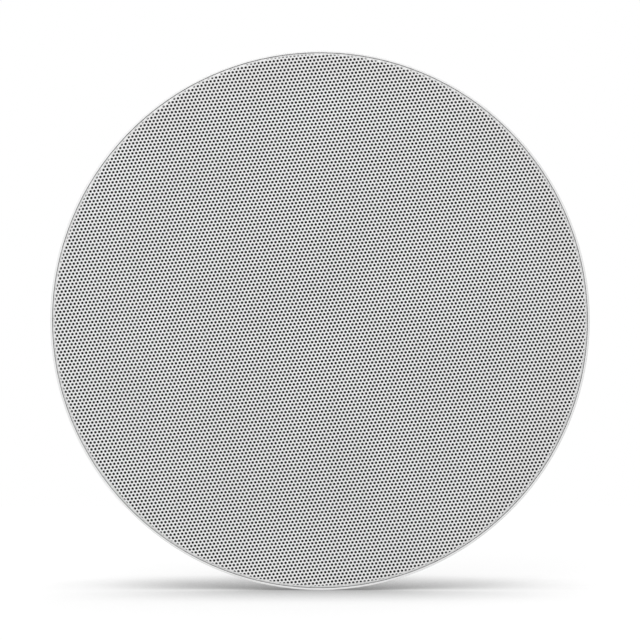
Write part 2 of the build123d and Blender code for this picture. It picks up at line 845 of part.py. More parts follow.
with BuildPart() as tweeter_housing:
    revolve(
        section(
            (pod_bore / 2, pod_face),
            (sqrt(pod_radius**2 - pod_front**2), pod_face),
            (pod_widest, pivot_height - pod_band),
            (pod_widest, pivot_height + pod_band),
            (sqrt(pod_radius**2 - pod_back**2), pod_end),
            (0, pod_end),
            (0, pod_seat),
            (pod_bore / 2, pod_seat),
        ),
        axis=Axis.Z,
    )
    with BuildSketch(Plane.YZ.offset(pod_widest - wall_root)):
        with Locations((0, pivot_height)):
            Circle(pin_diameter / 2)
    extrude(amount=swivel_outer - pin_tip - pod_widest + wall_root)
    mirror(about=Plane.YZ)
save(tweeter_housing, "tweeter_housing")

with BuildPart() as tweeter_pot:
    with BuildSketch(Plane.XY.offset(pot_front)):
        Circle(pot_diameter / 2)
    extrude(amount=pot_height)
    with BuildSketch(Plane.XY.offset(pot_front)):
        Circle(pot_diameter / 2 - pot_wall)
    extrude(amount=pot_height - pot_floor, mode=Mode.SUBTRACT)
save(tweeter_pot, "tweeter_pot")

with BuildPart() as tweeter_magnet:
    with BuildSketch(Plane.XY.offset(pole_back)):
        Circle(tweeter_magnet_diameter / 2)
    extrude(amount=tweeter_magnet_thickness)
save(tweeter_magnet, "tweeter_magnet")

with BuildPart() as tweeter_pole_plate:
    with BuildSketch(Plane.XY.offset(pole_back - pole_plate_thickness)):
        Circle(pole_plate_diameter / 2)
    extrude(amount=pole_plate_thickness)
save(tweeter_pole_plate, "tweeter_pole_plate")

with BuildPart() as tweeter_dome:
    with BuildSketch(Plane.XZ):
        with BuildLine():
            dome_inside = dome_rim - dome_thickness
            outer_middle = (dome_rim / 2, dome_front - dish(dome_rim / 2, dome_rim, dome_height))
            inner_middle = (dome_inside / 2, pot_front - dish(dome_inside / 2, dome_inside, dome_height))
            ThreePointArc((0, dome_front - dome_height), outer_middle, (dome_rim, dome_front))
            Polyline(
                (dome_rim, dome_front),
                (pot_diameter / 2, dome_front),
                (pot_diameter / 2, pot_front),
                (dome_inside, pot_front),
            )
            ThreePointArc((dome_inside, pot_front), inner_middle, (0, pot_front - dome_height))
            Line((0, pot_front - dome_height), (0, dome_front - dome_height))
        make_face()
    revolve(axis=Axis.Z)
save(tweeter_dome, "tweeter_dome")

with BuildPart() as tweeter_faceplate:
    revolve(
        section(
            (faceplate_radius, dome_front),
            (throat, dome_front),
            (throat + flare, pod_face),
            (faceplate_radius, pod_face),
        ),
        axis=Axis.Z,
    )
save(tweeter_faceplate, "tweeter_faceplate")

# Crossover tray on the back of the magnet
standoff_span = board_length - 2 * board_screw_inset
standoff_depth = board_width - 2 * board_screw_inset
standoff_places = GridLocations(standoff_span, standoff_depth, 2, 2)
board_pilot = board_screw_diameter / 2 + board_screw_fit
tray_floor = yoke_back + tray_thickness

with BuildPart() as crossover_tray:
    with BuildSketch(Plane.XY.offset(yoke_back)):
        Circle(tray_radius)
    extrude(amount=tray_thickness)
    extrude(
        annulus(tray_radius, tray_radius - tray_rim_wall, tray_floor),
        amount=tray_rim - tray_thickness,
    )
    extrude(discs(standoff_diameter / 2, standoff_places, tray_floor), amount=standoff_height)
    extrude(discs(board_pilot, standoff_places, board_bottom), amount=-board_screw_bite, mode=Mode.SUBTRACT)
    extrude(discs(tray_pilot, tray_screw_places, yoke_back), amount=tray_thickness, mode=Mode.SUBTRACT)
save(crossover_tray, "crossover_tray")

with BuildPart() as tray_screws:
    extrude(discs(bolt_head_diameter / 2, tray_screw_places, tray_floor), amount=bolt_head_height)
    extrude(
        discs(bolt_diameter / 2, tray_screw_places, tray_floor),
        amount=-(tray_thickness + tray_screw_depth),
    )
save(tray_screws, "tray_screws")

with BuildPart() as crossover_board:
    with BuildSketch(Plane.XY.offset(board_bottom)):
        RectangleRounded(board_length, board_width, board_corner)
        with standoff_places:
            Circle(board_screw_diameter / 2 + board_hole_room, mode=Mode.SUBTRACT)
    extrude(amount=board_thickness)
save(crossover_board, "crossover_board")

with BuildPart() as board_screws:
    extrude(discs(board_screw_head_diameter / 2, standoff_places, board_top), amount=board_screw_head_height)
    extrude(
        discs(board_screw_diameter / 2, standoff_places, board_top),
        amount=-(board_thickness + board_screw_bite),
    )
save(board_screws, "board_screws")

# Parts on the board: wound inductors, film capacitors and a cement resistor
block_x = board_length / 2 - block_inset[0]
block_y = block_inset[1] - board_half
inductor_x = inductor_inset - board_length / 2
small_inductor_y = tweeter_inductor_inset - board_half
large_inductor_y = small_inductor_y + (tweeter_inductor_diameter + woofer_inductor_diameter) / 2 + part_gap
small_capacitor_y = block_y + (block_width + tweeter_capacitor_diameter) / 2 + part_gap
large_capacitor_y = small_capacitor_y + (tweeter_capacitor_diameter + woofer_capacitor_diameter) / 2 + part_gap

inductors = (
    (
        "woofer_inductor",
        (inductor_x, large_inductor_y),
        woofer_inductor_diameter,
        woofer_inductor_bore,
        woofer_inductor_height,
    ),
    (
        "tweeter_inductor",
        (inductor_x, small_inductor_y),
        tweeter_inductor_diameter,
        tweeter_inductor_bore,
        tweeter_inductor_height,
    ),
)
for name, place, diameter, bore, height in inductors:
    with BuildPart() as inductor:
        with BuildSketch(Plane.XY.offset(board_top)):
            with Locations(place):
                Circle(diameter / 2 - bobbin_edge)
                Circle(bore / 2, mode=Mode.SUBTRACT)
        extrude(amount=height)
        for level in (board_top, board_top + height - bobbin_flange):
            with BuildSketch(Plane.XY.offset(level)):
                with Locations(place):
                    Circle(diameter / 2)
                    Circle(bore / 2, mode=Mode.SUBTRACT)
            extrude(amount=bobbin_flange)
    save(inductor, name)

capacitors = (
    (
        "woofer_capacitor",
        (woofer_capacitor_shift, large_capacitor_y),
        woofer_capacitor_diameter,
        woofer_capacitor_length,
    ),
    (
        "tweeter_capacitor",
        (tweeter_capacitor_shift, small_capacitor_y),
        tweeter_capacitor_diameter,
        tweeter_capacitor_length,
    ),
)
for name, (middle, across), diameter, length in capacitors:
    with BuildPart() as capacitor:
        with BuildSketch(Plane.YZ.offset(middle - length / 2)):
            with Locations((across, board_top + diameter / 2 - capacitor_flat)):
                Circle(diameter / 2)
            with Locations((across, board_top)):
                Rectangle(diameter, diameter, align=(Align.CENTER, Align.MIN), mode=Mode.INTERSECT)
        extrude(amount=length)
    save(capacitor, name)

with BuildPart() as resistor:
    with BuildSketch(Plane.XY.offset(board_top)):
        with Locations((resistor_shift, resistor_inset - board_half)):
            Rectangle(resistor_width, resistor_length)
    extrude(amount=resistor_width)
    chamfer(resistor.faces().sort_by(Axis.Z)[-1].edges(), resistor_chamfer)
save(resistor, "resistor")

# Push terminals: a block with two wire holes and two sprung buttons
button_y = block_y + button_shift
wire_y = block_y + wire_hole_shift

with BuildPart() as terminal_block:
    with BuildSketch(Plane.XY.offset(board_top)):
        with Locations((block_x, block_y)):
            Rectangle(block_length, block_width)
    extrude(amount=block_height)
    chamfer(terminal_block.faces().sort_by(Axis.Z)[-1].edges(), block_chamfer)
    with BuildSketch(Plane.XY.offset(block_top)):
        with Locations((block_x, button_y)):
            with GridLocations(button_pitch, 0, 2, 1):
                Rectangle(button_length + 2 * button_clearance, button_width + 2 * button_clearance)
    extrude(amount=-button_well, mode=Mode.SUBTRACT)
    with BuildSketch(Plane.XY.offset(block_top)):
        with Locations((block_x, wire_y)):
            with GridLocations(button_pitch, 0, 2, 1):
                Circle(wire_hole_diameter / 2)
    extrude(amount=-wire_hole_depth, mode=Mode.SUBTRACT)
save(terminal_block, "terminal_block")

for name, side in (("terminal_button_red", -1), ("terminal_button_black", 1)):
    with BuildPart() as button:
        with BuildSketch(Plane.XY.offset(block_top - button_stem)):
            with Locations((block_x + side * button_pitch / 2, button_y)):
                Rectangle(button_length, button_width)
        extrude(amount=button_stem + button_height)
        fillet(button.edges().group_by(Axis.Z)[-1], button_corner)
    save(button, name)

# Tag strip on the basket's shelf, and the leads between crossover, woofer and tweeter
with BuildPart() as woofer_tag_strip:
    with BuildSketch(Plane.XY.offset(strip_bottom)):
        with Locations((0, -strip_inner)):
            Rectangle(strip_length, strip_outer - strip_inner, align=(Align.CENTER, Align.MAX))
    extrude(amount=strip_thickness)
save(woofer_tag_strip, "woofer_tag_strip")

woofer_tag = strip_outer - tag_inset
with BuildPart() as woofer_leads:
    route = [(-woofer_tag, strip_top)]
    route += [(inward - woofer_tag, strip_top + rise) for inward, rise in woofer_lead_rise]
    route += [(inward - board_half, board_top + rise) for inward, rise in woofer_lead_fall]
    route += [(woofer_pad_inset - board_half, board_top)]
    for side in (-lead_spread, lead_spread):
        add(lead([(side, *point) for point in route], lead_diameter))
save(woofer_leads, "woofer_leads")

tinsel_end = tinsel_share * cone_shoulder
tinsel_height = cone_front(tinsel_end) + cone_thickness + tinsel_diameter
with BuildPart() as woofer_tinsel_leads:
    route = [(tinsel_inset - strip_outer, strip_bottom)]
    route += [(-strip_outer - outward, strip_bottom + rise) for outward, rise in tinsel_points]
    route += [(-tinsel_end, tinsel_height)]
    for side in (-lead_spread, lead_spread):
        add(lead([(side, *point) for point in route], tinsel_diameter))
save(woofer_tinsel_leads, "woofer_tinsel_leads")

groove_level = arm_back - groove_depth / 2
tail_start = pod_end + tail_length
slope = pocket_outer - tray_radius
with BuildPart() as tweeter_lead:
    route = [(board_half - tweeter_pad_inset, board_top)]
    route += [(board_half + outward, board_top + rise) for outward, rise in tweeter_lead_rise]
    route += [(tray_radius + share * slope, height * board_top) for share, height in tweeter_lead_slope]
    route += [(pocket_outer + outward, lead_hole_height + rise) for outward, rise in tweeter_lead_drop]
    route += [(pocket_outer - groove_entry, groove_level)]
    route += [(hub_outer + outward, groove_level + rise) for outward, rise in tweeter_lead_hub]
    route += [(share * hub_outer, tail_start + rise) for share, rise in tweeter_lead_loop]
    route += [(0.0, tail_start)]
    add(lead([(0.0, *point) for point in route], lead_diameter))
save(tweeter_lead, "tweeter_lead")

with BuildPart() as tweeter_tail:
    with BuildSketch(Plane.XY.offset(pod_end)):
        Circle(lead_diameter / 2)
    extrude(amount=tail_length)
save(tweeter_tail, "tweeter_tail")
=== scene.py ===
import json
import math
import bmesh
import bpy
import numpy as np
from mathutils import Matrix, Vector
from mathutils.geometry import delaunay_2d_cdt


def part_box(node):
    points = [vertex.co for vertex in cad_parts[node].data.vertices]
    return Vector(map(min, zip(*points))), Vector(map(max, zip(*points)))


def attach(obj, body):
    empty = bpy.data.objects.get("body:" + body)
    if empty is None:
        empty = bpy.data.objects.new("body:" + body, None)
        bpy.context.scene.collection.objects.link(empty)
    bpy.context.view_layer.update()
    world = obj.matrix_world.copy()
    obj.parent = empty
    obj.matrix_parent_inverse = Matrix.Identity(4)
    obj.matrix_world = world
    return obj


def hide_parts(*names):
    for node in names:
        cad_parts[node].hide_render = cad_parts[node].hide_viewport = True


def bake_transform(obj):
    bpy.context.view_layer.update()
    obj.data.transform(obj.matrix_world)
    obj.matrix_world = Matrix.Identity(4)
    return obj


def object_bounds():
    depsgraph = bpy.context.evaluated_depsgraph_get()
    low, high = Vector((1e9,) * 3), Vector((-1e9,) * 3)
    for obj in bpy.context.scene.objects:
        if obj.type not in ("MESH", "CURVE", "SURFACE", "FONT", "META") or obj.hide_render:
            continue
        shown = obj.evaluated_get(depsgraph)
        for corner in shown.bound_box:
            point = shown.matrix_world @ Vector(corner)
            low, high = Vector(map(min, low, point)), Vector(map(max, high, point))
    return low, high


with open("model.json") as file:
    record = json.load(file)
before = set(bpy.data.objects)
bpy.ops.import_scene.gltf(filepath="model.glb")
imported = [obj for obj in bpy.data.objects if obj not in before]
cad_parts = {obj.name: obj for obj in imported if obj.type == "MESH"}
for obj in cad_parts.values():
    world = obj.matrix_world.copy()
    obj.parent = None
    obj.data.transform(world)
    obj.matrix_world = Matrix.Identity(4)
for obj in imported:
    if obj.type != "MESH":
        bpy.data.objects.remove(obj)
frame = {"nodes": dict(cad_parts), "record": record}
cadBox = [list(corner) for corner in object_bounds()]
nodes = frame["nodes"]
slotOf = {row["node"]: row["material_slot"] for row in frame["record"]["subparts"]}
mm = 0.001
tiny = 1e-9  # metres, below any gap in the object
print("frame loaded with", len(nodes), "nodes")


def hexLinear(code):
    # sRGB to linear: c / 12.92 in the toe, else ((c + 0.055) / 1.055) to the power 2.4
    channels = [int(code[start:start + 2], 16) / 255 for start in (1, 3, 5)]
    return tuple(c / 12.92 if c <= 0.04045 else ((c + 0.055) / 1.055) ** 2.4 for c in channels) + (1.0,)


def addNode(tree, kind, settings=None, sockets=None):
    # a node with its settings; each socket takes a value or a link from another node's output
    node = tree.nodes.new(kind)
    for key, value in (settings or {}).items():
        setattr(node, key, value)
    for key, value in (sockets or {}).items():
        if isinstance(value, bpy.types.NodeSocket):
            tree.links.new(value, node.inputs[key])
        else:
            node.inputs[key].default_value = value
    return node


def newFinish(name):
    # an empty material: its tree, its shader and the object coordinates that patterns read
    material = bpy.data.materials.new(name)
    material.use_nodes = True
    tree = material.node_tree
    tree.nodes.clear()
    skin = addNode(tree, "ShaderNodeBsdfPrincipled")
    addNode(tree, "ShaderNodeOutputMaterial", None, {"Surface": skin.outputs["BSDF"]})
    place = addNode(tree, "ShaderNodeTexCoord").outputs["Object"]
    return material, tree, skin, place


def wireSkin(tree, skin, tint, polish, lift):
    # the three patterns that every finish has: colour, roughness and relief
    for socket, output in (("Base Color", tint), ("Roughness", polish), ("Normal", lift)):
        tree.links.new(output, skin.inputs[socket])


mixShare, mixFrom, mixTo, mixOut = 0, 6, 7, 2  # sockets of a Mix node that mixes colours
noise = {
    "grain": {"Detail": 3.0, "Roughness": 0.6},
    "cloud": {"Detail": 4.0, "Roughness": 0.5},
    "span": {"From Min": 0.3, "From Max": 0.7},  # most of a noise texture's values lie between these
}


def grained(name, low, high, grainMm, liftMm, rough, cloudMm, metal=0.0, ior=1.5, stretch=(1, 1, 1)):
    # grain roughens and lifts the skin, and a slow cloud drifts its colour between low and high
    material, tree, skin, place = newFinish(name)
    drawn = addNode(tree, "ShaderNodeMapping", None, {"Vector": place, "Scale": stretch}).outputs["Vector"]
    grain = addNode(tree, "ShaderNodeTexNoise", None, {
        "Vector": drawn, "Scale": 1 / (grainMm * mm), **noise["grain"]}).outputs["Fac"]
    cloud = addNode(tree, "ShaderNodeTexNoise", None, {
        "Vector": place, "Scale": 1 / (cloudMm * mm), **noise["cloud"]}).outputs["Fac"]
    drift = addNode(tree, "ShaderNodeMapRange", None, {"Value": cloud, **noise["span"]}).outputs["Result"]
    tint = addNode(tree, "ShaderNodeMix", {"data_type": "RGBA"}, {
        mixShare: drift, mixFrom: hexLinear(low), mixTo: hexLinear(high)}).outputs[mixOut]
    polish = addNode(tree, "ShaderNodeMapRange", None, {
        "Value": grain, **noise["span"], "To Min": rough[0], "To Max": rough[1]}).outputs["Result"]
    lift = addNode(tree, "ShaderNodeBump", None, {
        "Height": grain, "Strength": 1.0, "Distance": liftMm * mm}).outputs["Normal"]
    wireSkin(tree, skin, tint, polish, lift)
    skin.inputs["Metallic"].default_value = metal
    if not metal:
        skin.inputs["IOR"].default_value = ior
    return material


weave = {
    "uneven": {"Distortion": 0.6, "Detail": 1.0, "Detail Scale": 3.0},
    "period": 2 * math.pi / 20,  # of a wave texture at a scale of 1
}


def woven(name, shadedValley, crown, threadMm, liftMm, rough, sheen):
    # two crossed rows of threads, each thread a sine hump; the higher one shows on top, and the gaps between
    # them are painted darker as shade
    material, tree, skin, place = newFinish(name)
    bands = [addNode(tree, "ShaderNodeTexWave", {"bands_direction": way}, {
        "Vector": place, "Scale": weave["period"] / (threadMm * mm), **weave["uneven"]}).outputs["Fac"]
        for way in ("X", "Y")]
    threads = addNode(tree, "ShaderNodeMath", {"operation": "MAXIMUM"}, dict(enumerate(bands))).outputs[0]
    # thread height picks the colour: painted shade, darker in the gaps between threads
    tint = addNode(tree, "ShaderNodeMix", {"data_type": "RGBA"}, {
        mixShare: threads, mixFrom: hexLinear(shadedValley), mixTo: hexLinear(crown)}).outputs[mixOut]
    polish = addNode(tree, "ShaderNodeMapRange", None, {
        "Value": threads, "To Min": rough[1], "To Max": rough[0]}).outputs["Result"]
    lift = addNode(tree, "ShaderNodeBump", None, {
        "Height": threads, "Strength": 1.0, "Distance": liftMm * mm}).outputs["Normal"]
    wireSkin(tree, skin, tint, polish, lift)
    skin.inputs["Sheen Weight"].default_value = sheen
    return material


# colours from low to high, grain and its lift in mm, roughness from and to, then the colour's drift in mm;
# cloth has valley and crown, thread and its lift in mm, roughness on the crown and in the valley, then sheen;
# the valley's darker colour is painted shade between the threads
finishes = {
    # polyester powder coat: even white with a soft orange peel of about half a millimetre
    "powder_coated_grille": grained("powderCoatedSteel", "#EDEDED", "#F2F2F2", 0.6, 0.01, (0.42, 0.55), 60),
    # ABS from a spark-eroded mould: satin white, a touch brighter than the grille
    "white_abs": grained("mouldedWhiteAbs", "#F0F0F0", "#F5F5F5", 0.35, 0.012, (0.38, 0.5), 40, ior=1.53),
    # open acoustic cloth: black threads that swallow the light in the holes, drawn coarser than they are
    "black_cloth": woven("wovenBlackPolyester", "#050505", "#121212", 0.6, 0.08, (0.85, 0.95), 0.2),
    # nickel plate on a pressed magnet: a warm, slightly blurred mirror
    "nickel": grained("nickelPlatedMagnet", "#C9C6BE", "#D6D3CB", 0.8, 0.002, (0.14, 0.24), 6, metal=1.0),
    # black powder coat on pressed steel: deeper peel, low sheen
    "black_steel": grained("powderCoatedBasket", "#191919", "#222222", 0.9, 0.02, (0.38, 0.55), 35),
    # closed-cell foam: matt and pitted by its pores
    "foam": grained("closedCellFoam", "#141414", "#222222", 0.7, 0.12, (0.85, 0.95), 8),
    # black oxide on a rolled screw: thin black with a dull, oily shine
    "black_screw": grained("blackOxideScrew", "#161616", "#232323", 0.5, 0.006, (0.35, 0.5), 4),
    # butyl rubber from a plain mould: dull black, nearly no highlight
    "butyl_rubber": grained("mouldedButylRubber", "#121212", "#1B1B1B", 0.5, 0.01, (0.6, 0.75), 25),
    # filled polypropylene, pressed: dark grey with a pebbled skin
    "cone_paper": grained("pressedConePolypropylene", "#1A1A1B", "#26262A", 1.6, 0.05, (0.5, 0.7), 14),
    # the same, pressed thinner: a finer pebble and a little more shine than the cone
    "cap_paper": grained("pressedDustCap", "#171717", "#202022", 1.2, 0.03, (0.45, 0.6), 14),
    # rolled polyimide film: glossy amber with no grain to speak of
    "former_film": grained("polyimideFilm", "#8A5A1E", "#A56C26", 2.0, 0.005, (0.2, 0.3), 6),
    # drawn copper under enamel: red-brown metal with a clear shine
    "copper": grained("enamelledCopperWire", "#A65C32", "#BD7244", 1.5, 0.003, (0.22, 0.32), 6, metal=1.0),
    # phenolic-dipped cloth: amber threads stiff enough to hold their pleats
    "spider_cloth": woven("resinDippedCloth", "#7A5A26", "#B58A44", 0.9, 0.15, (0.6, 0.8), 0.1),
    # turned plates under bright zinc: fine rings round the rims, drawn coarser than the tool left them
    "zinc_steel": grained("zincPlatedSteel", "#A6A8AA", "#BCBEC0", 0.8, 0.012, (0.22, 0.42), 9, metal=1.0,
                          stretch=(0.03, 0.03, 1)),
    # sintered and ground ceramic: charcoal with fine pits
    "ferrite": grained("groundFerrite", "#373739", "#48484B", 0.9, 0.03, (0.5, 0.7), 10),
    # phenolic paper board: brown and satin, clouded by its fibres
    "phenolic": grained("phenolicPaperBoard", "#6A4122", "#7E5029", 1.2, 0.01, (0.4, 0.55), 5),
    # PVC extruded over wire: smooth, with a soft shine along the lead
    "red_lead": grained("extrudedRedPvc", "#9E1718", "#B32021", 0.9, 0.006, (0.35, 0.45), 12),
    "black_lead": grained("extrudedBlackPvc", "#161616", "#202020", 0.9, 0.006, (0.38, 0.5), 12),
    # black ABS from an etched mould: an even, fine satin
    "black_abs": grained("mouldedBlackAbs", "#171717", "#1F1F20", 0.4, 0.012, (0.42, 0.56), 30, ior=1.53),
    # silk under a damping coat: dark threads that just show through the film
    "silk_dome": woven("coatedSilk", "#141416", "#222226", 0.5, 0.03, (0.4, 0.6), 0.15),
    # solder mask on a glass and epoxy board: even green, nearly glossy
    "circuit_board": grained("solderMaskBoard", "#12502C", "#176238", 1.0, 0.01, (0.22, 0.34), 9),
    # polyester tape wound on a roll: glossy yellow
    "film_capacitor": grained("yellowFilmWrap", "#C79A1F", "#D3A828", 1.5, 0.008, (0.18, 0.28), 8),
    # cast cement: chalky, off-white and quite matt
    "cement": grained("castWhiteCement", "#CFCBC0", "#E0DDD4", 0.8, 0.05, (0.75, 0.9), 5),
    # PBT from a polished mould: clean gloss with sharp highlights
    "black_gloss": grained("mouldedBlackPbt", "#151515", "#1C1C1C", 0.6, 0.006, (0.22, 0.34), 10),
    "red_gloss": grained("mouldedRedPbt", "#A81414", "#BC1A1A", 0.6, 0.006, (0.22, 0.34), 10),
    # zinc plate on a rolled screw: pale, faintly yellow metal
    "zinc_screw": grained("zincPlatedScrew", "#B3B3AE", "#C6C6C0", 0.4, 0.004, (0.2, 0.34), 4, metal=1.0),
    # turned brass: yellow metal, bright but not polished
    "brass": grained("turnedBrass", "#B08D45", "#C6A356", 0.3, 0.004, (0.2, 0.32), 4, metal=1.0),
    # glass-filled nylon: dark grey with pale glass flecks near the skin
    "grey_nylon": grained("glassFilledNylon", "#232325", "#303033", 0.5, 0.02, (0.45, 0.62), 3),
}
# solder mask over copper: the board's green, lifted by the metal under it
traceMask = grained("solderMaskOverCopper", "#1F7A45", "#27884F", 1.0, 0.01, (0.2, 0.3), 9)
for node, slot in slotOf.items():
    nodes[node].data.materials.clear()
    nodes[node].data.materials.append(finishes[slot])


def leadPair(plusSlot, minusColour):
    # two extruded PVC leads side by side: a copy of the plus finish, with the minus colour at x above 0
    pair = finishes[plusSlot].copy()
    pair.name = "extrudedPvcPair"
    tree = pair.node_tree
    skin = tree.nodes["Principled BSDF"]
    place = addNode(tree, "ShaderNodeTexCoord").outputs["Object"]
    x = addNode(tree, "ShaderNodeSeparateXYZ", None, {"Vector": place}).outputs["X"]
    side = addNode(tree, "ShaderNodeMath", {"operation": "GREATER_THAN"}, {0: x, 1: 0.0}).outputs[0]
    plusTint = skin.inputs["Base Color"].links[0].from_socket
    tint = addNode(tree, "ShaderNodeMix", {"data_type": "RGBA"}, {
        mixShare: side, mixFrom: plusTint, mixTo: hexLinear(minusColour)}).outputs[mixOut]
    tree.links.new(tint, skin.inputs["Base Color"])
    return pair


nodes["woofer_leads"].data.materials[0] = leadPair("red_lead", "#1B1B1B")
print("finishes on", len(slotOf), "nodes")

crease = {"degrees": 35, "weldMm": 0.0001}


def placed(name, data):
    # an object at the origin, in the scene
    item = bpy.data.objects.new(name, data)
    bpy.context.scene.collection.objects.link(item)
    return item


def dressed(name, mesh, shell, slot, body, replaced):
    # a finished shell with its material, as an object that rides on its body; sharp turns stay creased
    shell.to_mesh(mesh)
    shell.free()
    mesh.validate()
    mesh.shade_smooth()
    mesh.set_sharp_from_angle(angle=math.radians(crease["degrees"]))
    mesh.materials.clear()
    mesh.materials.append(finishes[slot])
    piece = placed(name, mesh)
    if body:
        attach(piece, body)
    if replaced:
        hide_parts(*replaced)
    return piece


def newPiece(name, points, faces, slot, body=None, replaced=()):
    # a mesh from whole arrays of points and equal-sided faces; points that meet, as at poles, are welded
    count, corners = faces.shape
    mesh = bpy.data.meshes.new(name)
    mesh.vertices.add(len(points))
    mesh.vertices.foreach_set("co", np.asarray(points, np.float32).ravel())
    mesh.loops.add(count * corners)
    mesh.loops.foreach_set("vertex_index", np.asarray(faces, np.int32).ravel())
    mesh.polygons.add(count)
    mesh.polygons.foreach_set("loop_start", np.arange(0, count * corners, corners, dtype=np.int32))
    mesh.update(calc_edges=True)
    shell = bmesh.new()
    shell.from_mesh(mesh)
    bmesh.ops.remove_doubles(shell, verts=shell.verts, dist=crease["weldMm"] * mm)
    return dressed(name, mesh, shell, slot, body, replaced)


def roundSteps(count):
    # even angles round a full circle
    return 2 * math.pi * np.arange(count) / count


grille = {
    "holeMm": 1.42, "holeSides": 8,
    "pitchMm": 1.9836, "rowMm": 1.7292,  # from hole to hole along a row, and from row to row
    "stagger": 0.508,  # start of each row after the one before it, as a share of the pitch
    "tilt": 6.07,  # degrees that the rows drop towards +X
    "shiftMm": (-0.557, -0.48),  # the hole nearest the middle, along its row and across it
    "sheetMm": 0.8, "bendMm": 1.6,
    "plainMm": 0.1,  # unpunched border, along the bend
    "rimSteps": 720, "bendShares": (0.75, 1.0),  # points round the rim, and where rings of them hold the bend
}
grilleLow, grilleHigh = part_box("grille")
panRadius = grilleHigh.x
panFront, panEdge = grilleLow.z, grilleHigh.z
bend = grille["bendMm"] * mm
sheet = grille["sheetMm"] * mm
bendStart = panRadius - bend
bendLength = bend * math.pi / 2
blankRadius = bendStart + bendLength + panEdge - panFront - bend


def ontoPan(flat, depth):
    # a flat blank drawn into a pan: flat disc, quarter-circle bend, straight rim;
    # depth goes into the sheet, against the outward normal
    reach = np.hypot(flat[:, 0], flat[:, 1])
    ray = flat / np.maximum(reach, tiny)[:, None]
    turn = np.clip((reach - bendStart) / bend, 0, math.pi / 2)
    past = np.maximum(reach - bendStart - bendLength, 0)
    radius = np.minimum(reach, bendStart) + (bend - depth) * np.sin(turn)
    height = panFront + bend - (bend - depth) * np.cos(turn) + past
    return np.column_stack((ray * radius[:, None], height))


def holeCentres():
    # staggered rows, each a share of the pitch after the last, turned by the tilt and kept inside the border
    limit = bendStart + bendLength - (grille["plainMm"] + grille["holeMm"] / 2) * mm
    reach = math.ceil(limit / (grille["rowMm"] * mm)) + 1
    span = np.arange(-reach, reach + 1)
    along, row = np.meshgrid(span, span)
    u = ((along + row * grille["stagger"] % 1) * grille["pitchMm"] + grille["shiftMm"][0]) * mm
    v = (row * grille["rowMm"] + grille["shiftMm"][1]) * mm
    turn = -math.radians(grille["tilt"])
    x, y = u * math.cos(turn) - v * math.sin(turn), u * math.sin(turn) + v * math.cos(turn)
    inside = np.hypot(x, y) < limit
    return np.column_stack((x[inside], y[inside]))


def punchedWeb(blank, holePoints):
    # triangles between all points of the blank, less those with all three corners on one hole
    _, _, faces, sources, _, _ = delaunay_2d_cdt([Vector(point) for point in blank.tolist()], [], [], 0, tiny)
    given = np.array([source[0] for source in sources])
    triangles = given[np.array(faces)]
    owner = np.where(triangles < holePoints, triangles // grille["holeSides"], -1 - triangles)
    inHole = (owner[:, 0] == owner[:, 1]) & (owner[:, 1] == owner[:, 2])
    return triangles[~inHole][:, ::-1]  # seen from below the ceiling


def punchedFace(holes):
    # the web between the holes, wrapped over the pan, and the rim's edge and inner wall as two strips
    steps = grille["rimSteps"]
    angle = roundSteps(steps)
    circle = np.column_stack((np.cos(angle), np.sin(angle)))
    bendRings = [circle * (bendStart + bendLength * share) for share in grille["bendShares"]]
    blank = np.concatenate((holes, *bendRings, circle * blankRadius))
    edge = len(blank) - steps + np.arange(steps)
    inner, top = edge + steps, edge + 2 * steps
    nextEdge, nextInner, nextTop = np.roll(edge, -1), np.roll(inner, -1), np.roll(top, -1)
    strips = ((edge, nextEdge, nextInner), (edge, nextInner, inner),
              (inner, nextInner, nextTop), (inner, nextTop, top))
    lips = np.concatenate([np.column_stack(strip) for strip in strips])
    within = circle * (panRadius - sheet)
    rims = [np.column_stack((within, np.full(steps, height))) for height in (panEdge, panFront + bend)]
    points = np.concatenate((ontoPan(blank, 0.0), *rims))
    faces = np.concatenate((punchedWeb(blank, len(holes)), lips))
    newPiece("grille_face", points, faces, "powder_coated_grille", "grille", ("grille",))


def holeWalls(holes):
    # a wall through the sheet on each side of each hole, half of the holes to a piece
    sides = grille["holeSides"]
    mouth, foot = ontoPan(holes, 0.0), ontoPan(holes, sheet)
    halves = np.array_split(np.arange(len(holes) // sides), 2)
    for name, half in zip(("left", "right"), halves):
        start = np.arange(len(half))[:, None] * sides
        first, second = start + np.arange(sides), start + (np.arange(sides) + 1) % sides
        lower = len(half) * sides
        quads = np.stack((first, first + lower, second + lower, second), axis=2).reshape(-1, 4)
        corner = (half[:, None] * sides + np.arange(sides)).ravel()
        newPiece("grille_hole_walls_" + name, np.concatenate((mouth[corner], foot[corner])), quads,
                 "powder_coated_grille", "grille")


def perforatedPan():
    # each hole is a polygon on the blank, a flat side towards +X
    centres = holeCentres()
    spoke = roundSteps(grille["holeSides"]) + math.pi / grille["holeSides"]
    rim = grille["holeMm"] / 2 * mm * np.column_stack((np.cos(spoke), np.sin(spoke)))
    holes = (centres[:, None, :] + rim[None, :, :]).reshape(-1, 2)
    punchedFace(holes)
    holeWalls(holes)
    return len(centres)


holeCount = perforatedPan()
print("grille punched with", holeCount, "holes")


def gridFaces(rows, columns, wrapRows=False, wrapColumns=False):
    # quads of a grid of points laid out row after row, closed round where it wraps
    row = np.arange(rows if wrapRows else rows - 1)[:, None]
    column = np.arange(columns if wrapColumns else columns - 1)[None, :]
    nextRow, nextColumn = (row + 1) % rows, (column + 1) % columns
    corners = [r * columns + c for r, c in (
        (row, column), (nextRow, column), (nextRow, nextColumn), (row, nextColumn))]
    return np.stack(corners, axis=2).reshape(-1, 4)


def joined(*shapes):
    # several point and face arrays as one, each face shifted past the points before it
    starts = np.cumsum([0] + [len(points) for points, faces in shapes])
    return (np.concatenate([points for points, faces in shapes]),
            np.concatenate([faces + start for (points, faces), start in zip(shapes, starts)]))


